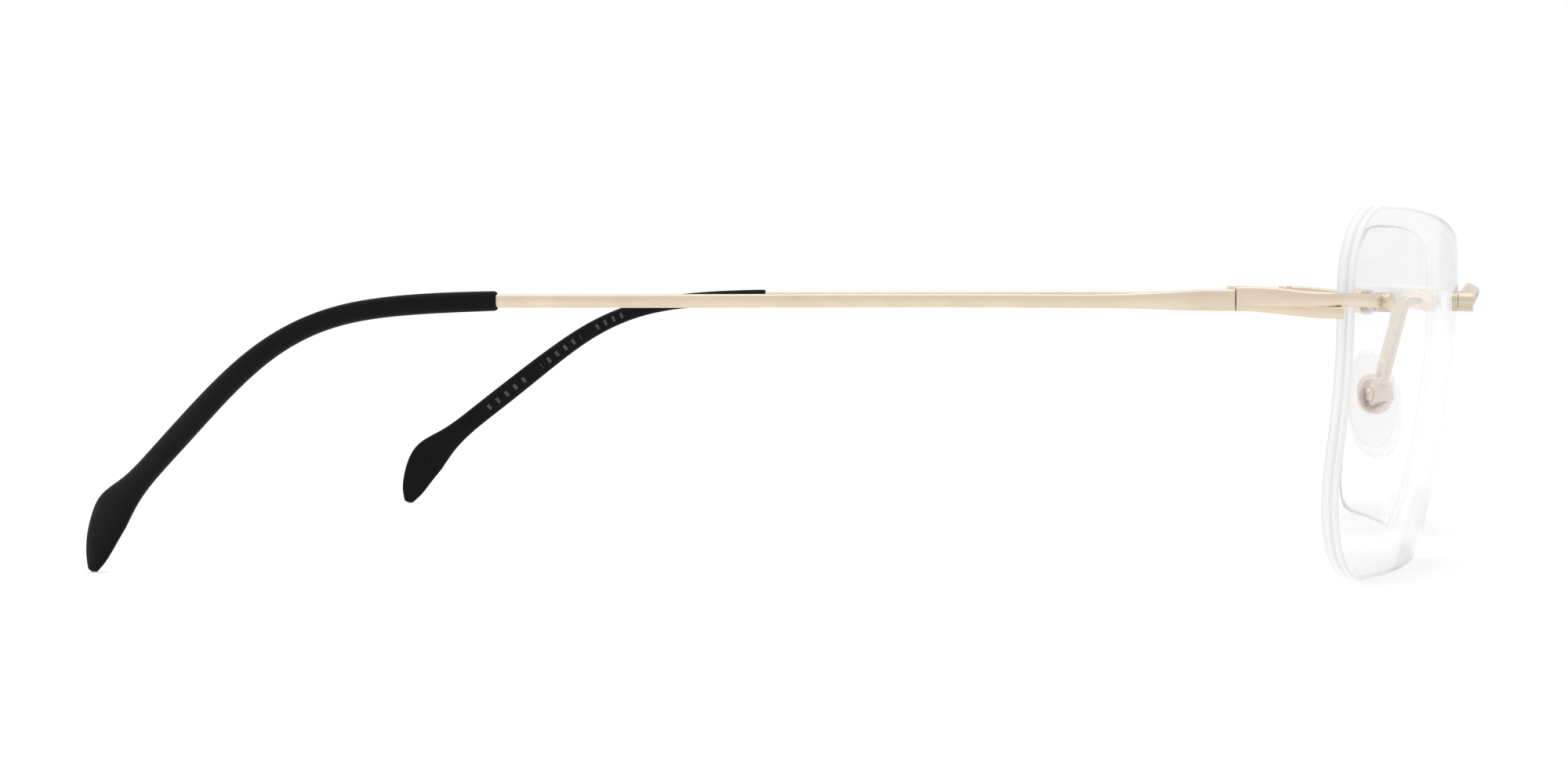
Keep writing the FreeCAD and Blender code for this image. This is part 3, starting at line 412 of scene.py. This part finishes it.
# ------------------------------------------------------------------ lens: spherical shell with ground edge, safety bevels and two holes
def lens_outline(step=0.55):
    """Closed outline, (u toward the temple, v up), mm; same construction as the design's sketch, counter-clockwise."""
    reach, treach, drop, bow, hh = 26.95, 27.2, 4.35, 2.4, 39.03 / 2
    nslant, tslant = 5.26, 1.86
    c = [V((reach, hh - drop)), V((-treach, hh)), V((-treach + tslant, -hh)), V((reach - nslant, -hh))]  # here + is toward the nose
    chord = c[0] - c[1]
    rt = (chord.length ** 2 / 4 + bow * bow) / (2 * bow)
    heart = (c[0] + c[1]) / 2 + V((chord.y, -chord.x)) * ((rt - bow) / chord.length)

    def fillet_line_line(a, p, b, r):
        da, db = (a - p).normalized(), (b - p).normalized()
        ang = math.acos(max(-1, min(1, da.dot(db))))
        t = r / math.tan(ang / 2)
        m = (da + db).normalized()
        o = p + m * (r / math.sin(ang / 2))
        return p + da * t, o, p + db * t

    def fillet_arc_line(p, q, r):
        """Fillet between the top arc (inside it) and the line p-q that starts at the arc's end p."""
        d = (q - p).normalized()
        inner = V((-d.y, d.x))
        if inner.dot(-p) < 0:
            inner = -inner
        base = p + inner * r
        w = base - heart
        bq, cq = w.dot(d), w.length_squared - (rt - r) ** 2
        root = math.sqrt(max(0.0, bq * bq - cq))
        s = -bq - root
        o = base + d * s
        on_arc = heart + (o - heart).normalized() * rt
        on_line = o - inner * r
        return on_arc, o, on_line

    def arc(o, a, b, r, direction):
        a0, a1 = math.atan2(a.y - o.y, a.x - o.x), math.atan2(b.y - o.y, b.x - o.x)
        d = a1 - a0
        while d <= -math.pi:
            d += 2 * math.pi
        while d > math.pi:
            d -= 2 * math.pi
        k = max(2, int(abs(d) * r / step))
        return [o + V((math.cos(a0 + d * i / k), math.sin(a0 + d * i / k))) * r for i in range(k + 1)]

    n_arc, n_o, n_line = fillet_arc_line(c[0], c[3], 10.8)
    t_arc, t_o, t_line = fillet_arc_line(c[1], c[2], 8.7)
    tb_a, tb_o, tb_b = fillet_line_line(c[1], c[2], c[3], 14.7)
    nb_a, nb_o, nb_b = fillet_line_line(c[2], c[3], c[0], 8.5)
    pts = []

    def add(seq):
        for p in seq:
            if not pts or (p - pts[-1]).length > 1e-4:
                pts.append(p)

    def line(a, b):
        """Straight run with a bulge of a few hundredths, so that no three points lie in one line."""
        k = max(1, int((b - a).length / step))
        off = V((b.y - a.y, a.x - b.x)).normalized()
        if off.dot(a + b) < 0:
            off = -off
        return [a + (b - a) * (i / k) + off * (0.08 * (i / k) * (1 - i / k)) for i in range(k + 1)]
    add(arc(heart, n_arc, t_arc, rt, 1))
    add(arc(t_o, t_arc, t_line, 8.7, 1))
    add(line(t_line, tb_a))
    add(arc(tb_o, tb_a, tb_b, 14.7, 1))
    add(line(tb_b, nb_a))
    add(arc(nb_o, nb_a, nb_b, 8.5, 1))
    add(line(nb_b, n_line))
    add(arc(n_o, n_line, n_arc, 10.8, 1))
    if (pts[0] - pts[-1]).length < 1e-3:
        pts.pop()
    return [V((-p.x, p.y)) for p in reversed(pts)]     # flip to u toward the temple, keep counter-clockwise


def lens_xyz(u, v, depth):
    """depth 0 is the front surface, 1 the back; walls run along the optical axis."""
    d2 = u * u + v * v
    front = CURVE - math.sqrt(CURVE ** 2 - d2)
    back = CURVE - math.sqrt((CURVE - THICK) ** 2 - d2)
    sag = front + (back - front) * depth
    return MIDDLE + SIDE * u + UP * v - AHEAD * sag


def build_lens(name, mirror):
    rim = lens_outline()
    n = len(rim)
    normals = []
    for i in range(n):
        d = (rim[(i + 1) % n] - rim[i - 1]).normalized()
        normals.append(V((d.y, -d.x)))
    area = sum(rim[i].x * rim[(i + 1) % n].y - rim[(i + 1) % n].x * rim[i].y for i in range(n))
    if area < 0:
        normals = [-k for k in normals]
    inset = 0.16
    ring = [p - k * inset for p, k in zip(rim, normals)]
    holes = []
    hn = 28
    for (hu, hv) in (NASAL, TEMPORAL):
        holes.append([V((hu + HOLE * math.cos(2 * math.pi * j / hn), hv + HOLE * math.sin(2 * math.pi * j / hn))) for j in range(hn)])
    pts2 = list(ring)
    edges = [(i, (i + 1) % n) for i in range(n)]
    for h in holes:
        b = len(pts2)
        pts2 += h
        edges += [(b + j, b + (j + 1) % hn) for j in range(hn)]
    near_ring = [p - k * 1.1 for p, k in zip(rim[::2], normals[::2])]
    pts2 += near_ring
    for (hu, hv) in (NASAL, TEMPORAL):
        for rr, kk in ((1.5, 20), (2.3, 22)):
            pts2 += [V((hu + rr * math.cos(2 * math.pi * (j + 0.5) / kk), hv + rr * math.sin(2 * math.pi * (j + 0.5) / kk))) for j in range(kk)]

    def inside(p, poly):
        hit = False
        for a, b in zip(poly, poly[1:] + poly[:1]):
            if (a.y > p.y) != (b.y > p.y) and p.x < (b.x - a.x) * (p.y - a.y) / (b.y - a.y) + a.x:
                hit = not hit
        return hit
    g = 1.5
    for i in range(-20, 21):
        for j in range(-14, 16):
            p = V((i * g + (0.5 * g if j % 2 else 0.0), j * g * 0.87))
            if not inside(p, ring) or min((p - q).length for q in ring) < 1.5:
                continue
            if min((p - V(h)).length for h in (NASAL, TEMPORAL)) < 3.0:
                continue
            pts2.append(p)
    vo, eo, fo, ov, oe, of_ = geometry.delaunay_2d_cdt(pts2, edges, [], 0, 1e-7)
    tris = []
    for f in fo:
        mid = sum((vo[i] for i in f), V((0, 0))) / len(f)
        if not inside(mid, ring) or any((mid - V(h)).length < HOLE * 0.985 for h in (NASAL, TEMPORAL)):
            continue
        a = (vo[f[1]] - vo[f[0]]).cross(vo[f[2]] - vo[f[0]])
        tris.append(tuple(f) if a > 0 else tuple(reversed(f)))
    back_of = {i: k for k, orig in enumerate(ov) for i in orig}

    # the holes follow the surface normal, so at the back they sit a little to one side
    def drill_shift(h):
        u, v = h
        root = math.sqrt(CURVE ** 2 - u * u - v * v)
        return V((-u / root * THICK * 1.02, -v / root * THICK * 1.02))
    shifts = [(V(h), drill_shift(h)) for h in (NASAL, TEMPORAL)]

    def shifted(p):
        q = V((p.x, p.y))
        for h, s in shifts:
            d = (p - h).length
            q += s * max(0.0, min(1.0, (4.0 - d) / 2.8))
        return q
    pts = [lens_xyz(p.x, p.y, 0.0) for p in vo]
    m = len(vo)
    for p in vo:
        q = shifted(p)
        pts.append(lens_xyz(q.x, q.y, 1.0))
    # local axes: SIDE x UP points backward or forward?  orient the front faces along AHEAD
    forward = SIDE.cross(UP).dot(AHEAD) > 0
    faces, kind = [], []
    for f in tris:
        faces.append(f if forward else tuple(reversed(f)))
        kind.append(0)
        g2 = tuple(i + m for i in f)
        faces.append(tuple(reversed(g2)) if forward else g2)
        kind.append(0)
    first = len(pts)
    for p in rim:
        pts.append(lens_xyz(p.x, p.y, 0.09))
    for p in rim:
        pts.append(lens_xyz(p.x, p.y, 0.91))
    idx = [next(k for k, orig in enumerate(ov) if i in orig) for i in range(n)]
    for i in range(n):
        k = (i + 1) % n
        loops = [(idx[i], idx[k], first + k, first + i), (first + i, first + k, first + n + k, first + n + i), (first + n + i, first + n + k, idx[k] + m, idx[i] + m)]
        for q in loops:
            faces.append(tuple(reversed(q)) if forward else q)
            kind.append(1)
    b = n
    for h in holes:
        hid = [next(k for k, orig in enumerate(ov) if (b + j) in orig) for j in range(hn)]
        for j in range(hn):
            k = (j + 1) % hn
            q = (hid[j], hid[k], hid[k] + m, hid[j] + m)
            faces.append(q if forward else tuple(reversed(q)))
            kind.append(1)
        b += hn
    o = mesh_object(name, pts, faces, True, mirror)
    o.data.materials.append(LENS)
    o.data.materials.append(LENS_EDGE)
    wall = o.data.uv_layers.new(name="wall")
    places = {}
    for i in range(n):
        along = i * 0.55
        for v_, d_ in ((idx[i], 0.0), (first + i, 0.09), (first + n + i, 0.91), (idx[i] + m, 1.0)):
            places[v_] = (along, d_)
    for p in o.data.polygons:
        for li in p.loop_indices:
            wall.data[li].uv = places.get(o.data.loops[li].vertex_index, (0.0, 0.5))
    for p, k in zip(o.data.polygons, kind):
        p.material_index = k
    outward(o)
    sharp_by_angle(o, 28)
    return o


for side_name, mirror in (("right", False), ("left", True)):
    lens = build_lens("lens_shell_" + side_name, mirror)
    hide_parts("lens_" + side_name)
    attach(lens, "front")

# ------------------------------------------------------------------ end pieces and temples: soft swept bars, knuckles, boss and stud
def table(rows, t):
    """Straight-line reading of a table of (t, value...) rows."""
    if t <= rows[0][0]:
        return rows[0][1:]
    for a, b in zip(rows[:-1], rows[1:]):
        if t <= b[0]:
            k = (t - a[0]) / (b[0] - a[0])
            return tuple(p + (q - p) * k for p, q in zip(a[1:], b[1:]))
    return rows[-1][1:]


def oval(mid, side, up, wide, high, power, count=28):
    ring = []
    for j in range(count):
        a = 2 * math.pi * (j + 0.5) / count
        c, k = math.cos(a), math.sin(a)
        ring.append(mid + side * (wide / 2 * math.copysign(abs(c) ** (2 / power), c)) + up * (high / 2 * math.copysign(abs(k) ** (2 / power), k)))
    return ring


def merge(parts):
    pts, faces = [], []
    for q, f in parts:
        b = len(pts)
        pts += list(q)
        faces += [tuple(i + b for i in g) for g in f]
    return pts, faces


def brick(x0, x1, y0, y1, z0, z1):
    pts = [V((x, y, z)) for x in (x0, x1) for y in (y0, y1) for z in (z0, z1)]
    return pts, [(0, 1, 3, 2), (4, 6, 7, 5), (0, 4, 5, 1), (2, 3, 7, 6), (0, 2, 6, 4), (1, 5, 7, 3)]


def tube(x, y, z0, z1, outer, inner, count=36):
    rings = []
    soft = 0.05
    for r, z in ((inner, z0), (outer - soft, z0), (outer, z0 + soft), (outer, z1 - soft), (outer - soft, z1), (inner, z1)):
        rings.append([V((x + r * math.cos(2 * math.pi * j / count), y + r * math.sin(2 * math.pi * j / count), z)) for j in range(count)])
    pts, faces = rings_to_mesh(rings, False, False)
    last = (len(rings) - 1) * count
    faces += [(last + j, last + (j + 1) % count, (j + 1) % count, j) for j in range(count)]
    return pts, faces


def peg(base, axis, z0, z1, radius, soft=0.12, count=36):
    side = axis.cross(V((0, 0, 1))).normalized()
    up = side.cross(axis).normalized()
    rings = [oval(base + axis * z, side, up, 2 * r, 2 * r, 2.0, count)
             for z, r in ((z0, radius - soft), (z0 + soft * 0.3, radius - soft * 0.3), (z0 + soft, radius), (z1 - soft, radius), (z1 - soft * 0.3, radius - soft * 0.3), (z1, radius - soft))]
    return rings_to_mesh(rings)


BOSS_AT, BOSS_DIR = V((-55.0397, HINGE_Y - 13.7634, 29.6597)), V((-0.38514, -0.92248, -0.02644)).normalized()
TOP_LINE = [(0.0, 31.34), (1.5, 31.35), (2.7, 31.31), (4.0, 31.2), (5.0, 31.08), (6.6, 30.88), (7.6, 30.79), (9.0, 30.72), (11.0, 30.64), (14.3, 30.42), (18.0, 30.42)]
UNDER_LINE = [(0.0, 28.88), (2.0, 28.86), (4.0, 28.9), (6.0, 29.02), (8.0, 29.16), (11.0, 29.25), (14.3, 29.0), (18.0, 29.0)]
LOW_LINE = [(0.0, 28.92), (1.6, 28.84), (3.5, 28.63), (5.0, 28.46), (6.6, 28.27), (8.2, 28.12), (11.6, 28.0)]


def end_piece(name, mirror):
    flat = lambda v: V((v.x, v.y, 0.0))
    start = V((-66.5, HINGE_Y - 0.012, 0.0))
    tip = flat(BOSS_AT + BOSS_DIR * 0.55)
    arm = flat(V((-BOSS_DIR.y, BOSS_DIR.x, 0.0))).normalized()
    corner = tip - arm * 10.15
    run = (corner - start).normalized()
    turn = math.acos(run.dot(arm))
    bend = 3.4
    tl = bend * math.tan(turn / 2)
    p1, p2 = corner - run * tl, corner + arm * tl
    left = V((-run.y, run.x, 0.0))
    heart = p1 + left * bend
    line = []
    straight = (p1 - start).length
    for i in range(25):
        line.append((start + run * (straight * i / 24), run))
    for i in range(1, 13):
        a = turn * i / 12
        rot = Matrix.Rotation(a, 3, "Z")
        line.append((heart + rot @ (p1 - heart), rot @ run))
    for i in range(1, 13):
        line.append((p2 + (tip - p2) * (i / 12), arm))
    rings = []
    far = (start - tip).y
    for k, (at, d) in enumerate(line):
        reach = HINGE_Y - at.y
        top, = table(TOP_LINE, reach)
        low, = table(UNDER_LINE, reach)
        side = V((-d.y, d.x, 0.0))
        rings.append(oval(V((at.x, at.y, (top + low) / 2)), side, V((0, 0, 1)), 1.0, top - low, 2.9))
    parts = [rings_to_mesh(rings)]
    rings = []
    tail = straight + 1.55 + (bend - 2.6) * math.tan(turn / 2)
    for i in range(25):
        at = start + run * (0.6 + (tail - 0.6) * i / 24)
        reach = HINGE_Y - at.y
        low, = table(LOW_LINE, reach)
        high = 29.75 - 0.05 * reach
        rings.append(oval(V((at.x, at.y, (high + low) / 2)), left, V((0, 0, 1)), 0.93, high - low, 3.6))
    last = start + run * (tail + 0.05)
    rings.append(oval(V((last.x, last.y, (high + low) / 2)), left, V((0, 0, 1)), 0.82, (high - low) * 0.92, 3.6))
    parts.append(rings_to_mesh(rings))
    for z0, z1 in ((HINGE_Z - 0.95, HINGE_Z - 0.37), (HINGE_Z + 0.37, HINGE_Z + 0.95)):
        parts.append(tube(-HINGE_X, HINGE_Y, z0, z1, 1.2, 0.6))
        parts.append(brick(-66.35, -65.5, HINGE_Y - 1.18, HINGE_Y - 0.04, z0 + 0.01, z1 - 0.01))
    parts.append(peg(BOSS_AT, BOSS_DIR, 0.05, 1.6, 1.0))
    parts.append(peg(BOSS_AT, BOSS_DIR, STUD_END, 0.3, 0.59, 0.08))
    pts, faces = merge(parts)
    o = mesh_object(name, pts, faces, True, mirror)
    o.data.materials.append(GOLD_BAR)
    outward(o)
    sharp_by_angle(o, 40)
    return o


def temple(name, mirror):
    shape = [(0.012, 66.5, 31.06, 28.9), (1.5, 66.55, 31.07, 28.9), (3.6, 66.65, 31.05, 28.93), (6.0, 66.78, 30.93, 28.99), (8.5, 66.88, 30.8, 29.09),
             (11.0, 66.97, 30.7, 29.18), (14.0, 67.1, 30.65, 29.24), (19.0, 67.35, 30.68, 29.28), (28.3, 67.7, 30.75, 29.35), (42.0, 67.95, 30.8, 29.4),
             (56.5, 68.0, 30.83, 29.43), (68.0, 67.95, 30.87, 29.47), (76.2, 67.88, 30.92, 29.52)]
    at, knots = spline([V((-x, HINGE_Y + s, (t + b) / 2)) for s, x, t, b in shape], 1)
    highs, _k = spline([(s, 0.0, 0.0, t - b) for s, x, t, b in shape], 1)
    centre = []
    for a, b in zip(knots[:-1], knots[1:]):
        for i in range(6):
            centre.append(V(at(a + (b - a) * i / 6)))
    centre.append(V(at(knots[-1])))
    rings = []
    for k, c in enumerate(centre):
        d = (centre[min(k + 1, len(centre) - 1)] - centre[max(k - 1, 0)]).normalized()
        side = d.cross(V((0, 0, 1))).normalized()
        up = side.cross(d) if k else V((0, 0, 1))
        if k == 0:
            side = V((1, 0, 0))
        s_ = c.y - HINGE_Y
        t, b = table([(r[0], r[2], r[3]) for r in shape], s_)
        rings.append(oval(c, side, up, 0.95, t - b, 2.9))
    for i in range(8, 16):
        s_, x, z = PATH[i]
        a, b = PATH[i - 1], PATH[min(i + 1, 24)]
        d = V((-(b[1] - a[1]), b[0] - a[0], b[2] - a[2])).normalized()
        side = d.cross(V((0, 0, 1))).normalized()
        rings.append(oval(V((-x, HINGE_Y + s_, z)), side, side.cross(d), 1.0, 1.0, 2.0))
    parts = [rings_to_mesh(rings)]
    parts.append(tube(-HINGE_X, HINGE_Y, HINGE_Z - 0.32, HINGE_Z + 0.32, 1.2, 0.6))
    parts.append(brick(-66.35, -65.5, HINGE_Y + 0.04, HINGE_Y + 1.18, HINGE_Z - 0.31, HINGE_Z + 0.31))
    pts, faces = merge(parts)
    o = mesh_object(name, pts, faces, True, mirror)
    o.data.materials.append(GOLD_BAR)
    outward(o)
    sharp_by_angle(o, 40)
    return o


def tip_cover(name, mirror):
    """Moulded sleeve that swells to a leaf-shaped paddle, with a rounded lip round the bar at its front."""
    size = dict(TIP)
    size[7], size[8], size[9] = (2.1, 1.78), (2.17, 1.8), (2.17, 1.8)
    rows = [[-PATH[i][1], HINGE_Y + PATH[i][0], PATH[i][2], size[i][0], size[i][1]] for i in range(7, 25)]
    at, knots = spline(rows, 1)
    rings, along = [], []

    def ring(t, scale_h=1.0, scale_w=1.0, push=0.0, power=2.2):
        q, ahead = at(t), at(min(t + 0.02, knots[-1]))
        back = at(max(t - 0.02, 0.0))
        d = (V(ahead[:3]) - V(back[:3])).normalized()
        side = d.cross(V((0, 0, 1))).normalized()
        rings.append(oval(V(q[:3]) + d * push, side, side.cross(d), q[4] * scale_w, q[3] * scale_h, power))
        along.append(q[1] - HINGE_Y)
    for push, kh, kw in ((0.32, 0.70, 0.57), (0.04, 0.73, 0.61), (-0.02, 0.79, 0.70), (0.03, 0.88, 0.83), (0.13, 0.95, 0.93), (0.28, 0.99, 0.985)):
        ring(0.0, kh, kw, push)
    for k, (a, b) in enumerate(zip(knots[:-1], knots[1:])):
        steps = 5 if k < 9 else 4
        for i in range(steps):
            if k or i > 0:
                ring(a + (b - a) * i / steps)
    ring(knots[-1])
    for push, k in ((0.1, 0.86), (0.17, 0.6), (0.2, 0.3)):
        ring(knots[-1], k, k, push, 2.0)
    pts, faces = rings_to_mesh(rings)
    pts = [V((q[0], min(q[1], 76.86), max(q[2], 0.03))) for q in pts]     # it stands on the table
    o = mesh_object(name, pts, faces, True, mirror)
    run = o.data.uv_layers.new(name="run")
    n = len(rings[0])
    total = len(rings) * n
    for p in o.data.polygons:
        for li in p.loop_indices:
            v_ = o.data.loops[li].vertex_index
            if v_ >= total:
                run.data[li].uv = (0.0, 50.0)
                continue
            r, j = divmod(v_, n)
            a = 2 * math.pi * (j + 0.5) / n
            half = (rings[r][n // 4] - rings[r][3 * n // 4]).length / 2
            inner = math.cos(a) > 0.0
            run.data[li].uv = (along[r], half * math.copysign(abs(math.sin(a)) ** (2 / 2.2), math.sin(a)) if inner else 50.0)
    o.data.materials.append(RUBBER)
    outward(o)
    sharp_by_angle(o, 50)
    return o


def nose_pad(name, mirror):
    """Soft domed pad: oval, flat at the back with a rolled edge."""
    splay, lean, rake = (math.radians(a) for a in (23.0, 14.5, 4.0))
    wide = V((-math.sin(splay), math.cos(splay), 0.0))
    tall = V((math.sin(lean), math.sin(rake), math.cos(lean))).normalized()
    tall = (tall - wide * tall.dot(wide)).normalized()
    out = wide.cross(tall).normalized()
    if out.x < 0:
        out = -out
    heart = V((-9.2, HINGE_Y - 13.1, 17.2))
    rings = []
    for depth, k in [(-0.70, 0.60), (-0.70, 0.76), (-0.68, 0.80), (-0.62, 0.835)] + [(-0.5 + 0.17 * i, None) for i in range(10)] + [(1.13, 0.53), (1.17, 0.44), (1.18, 0.2)]:
        if k is None:
            k = 0.985 * math.sqrt(1.0 - (depth / 1.35) ** 2)
        rings.append([heart + out * depth + tall * (12.9 / 2 * k * math.cos(2 * math.pi * j / 64)) + wide * (7.6 / 2 * k * math.sin(2 * math.pi * j / 64)) for j in range(64)])
    pts, faces = rings_to_mesh(rings)
    o = mesh_object(name, pts, faces, True, mirror)
    o.data.materials.append(PAD)
    outward(o)
    return o


STUD_END = -3.85
for side_name, mirror in (("right", False), ("left", True)):
    piece = end_piece("end_bar_" + side_name, mirror)
    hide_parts("end_piece_" + side_name)
    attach(piece, "front")
    piece = temple("temple_bar_" + side_name, mirror)
    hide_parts("temple_" + side_name)
    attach(piece, side_name + "_temple")
    piece = tip_cover("tip_cover_" + side_name, mirror)
    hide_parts("temple_tip_" + side_name)
    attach(piece, side_name + "_temple")
    piece = nose_pad("soft_pad_" + side_name, mirror)
    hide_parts("nose_pad_" + side_name)
    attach(piece, side_name + "_pad")

# ------------------------------------------------------------------ carried-over nodes
for name, o in NODES.items():
    if name.startswith(("bridge", "end_piece_right", "end_piece_left", "temple_right", "temple_left", "pad_arm")):
        paint(o, GOLD)
    elif name.startswith(("hinge_screw", "lens_nuts", "pad_screw")):
        paint(o, GOLD_BRIGHT)
    elif name.startswith(("pad_box", "pad_insert")):
        paint(o, GOLD_PAD)
    elif name.startswith(("lens_bushings", "end_piece_washers")):
        paint(o, BUSHING)
    elif name.startswith("nose_pad"):
        paint(o, PAD)
    elif name.startswith("temple_tip"):
        paint(o, RUBBER)
    elif name.startswith("lens_"):
        paint(o, LENS)

# ------------------------------------------------------------------ floor, light, camera
def floor():
    pts, faces = [], []
    k = 24
    for i in range(k + 1):
        for j in range(k + 1):
            x, y = (i / k - 0.5) * 9000, (j / k - 0.5) * 9000
            pts.append(V((x, y, -0.02)))
    for i in range(k):
        for j in range(k):
            a = i * (k + 1) + j
            faces.append((a, a + k + 1, a + k + 2, a + 1))
    o = mesh_object("studio_floor", pts, faces)
    m, t, b = new_material("floor_paper")
    vec = coords(t, (0.01, 0.01, 0.01))
    fine = noise(t, vec, 3.0, 4.0)
    col = ramp(t, fine, [(0.3, (0.70, 0.70, 0.70)), (0.7, (0.715, 0.715, 0.715))])
    t.links.new(col, b.inputs["Base Color"])
    b.inputs["Roughness"].default_value = 0.9
    b.inputs["Specular IOR Level"].default_value = 0.1
    b.inputs["Emission Color"].default_value = (1.0, 1.0, 1.0, 1.0)
    b.inputs["Emission Strength"].default_value = 0.36
    o.data.materials.append(m)
    return o


floor()
scene = bpy.context.scene
world = bpy.data.worlds.new("studio")
scene.world = world
world.use_nodes = True
wt = world.node_tree
wt.nodes.clear()
wout = wt.nodes.new("ShaderNodeOutputWorld")
wbg = wt.nodes.new("ShaderNodeBackground")
wbg.inputs["Color"].default_value = (1.0, 1.0, 1.0, 1.0)
wbg.inputs["Strength"].default_value = 1.0
wt.links.new(wbg.outputs[0], wout.inputs[0])


def area_light(name, place, target, size, power, size_y=None):
    d = bpy.data.lights.new(name, "AREA")
    d.shape = "RECTANGLE"
    d.size, d.size_y = size, size_y or size
    d.energy = power
    o = bpy.data.objects.new(name, d)
    scene.collection.objects.link(o)
    o.location = place
    o.rotation_euler = (Vector(target) - Vector(place)).to_track_quat("-Z", "Y").to_euler()
    return o


area_light("overhead_softbox", (0.0, 0.0, 1.5), (0, 0, 0), 1.6, 5.0)

cam_data = bpy.data.cameras.new("camera")
cam = bpy.data.objects.new("camera", cam_data)
scene.collection.objects.link(cam)
scene.camera = cam
yaw, pitch, roll = math.radians(11.575), math.radians(1.957), math.radians(-0.292)
fwd0 = V((math.cos(yaw), math.sin(yaw), 0.0))
right0 = V((math.sin(yaw), -math.cos(yaw), 0.0))
fwd = fwd0 * math.cos(pitch) - V((0, 0, 1)) * math.sin(pitch)
up0 = V((0, 0, 1)) * math.cos(pitch) + fwd0 * math.sin(pitch)
right = right0 * math.cos(roll) + up0 * math.sin(roll)
upv = up0 * math.cos(roll) - right0 * math.sin(roll)
rot = Matrix((right, upv, -fwd)).transposed()
cam.matrix_world = Matrix.Translation(V((-369.31, -16.05 + HINGE_Y, 31.29)) * MM) @ rot.to_4x4()
cam_data.sensor_fit = "HORIZONTAL"
cam_data.sensor_width = 36.0
cam_data.lens = 3837.4 / 2000.0 * 36.0
cam_data.clip_start = 0.01
cam_data.clip_end = 50.0

scene.view_settings.view_transform = "Standard"
scene.view_settings.look = "None"
scene.view_settings.exposure = 0.0
scene.view_settings.gamma = 1.0
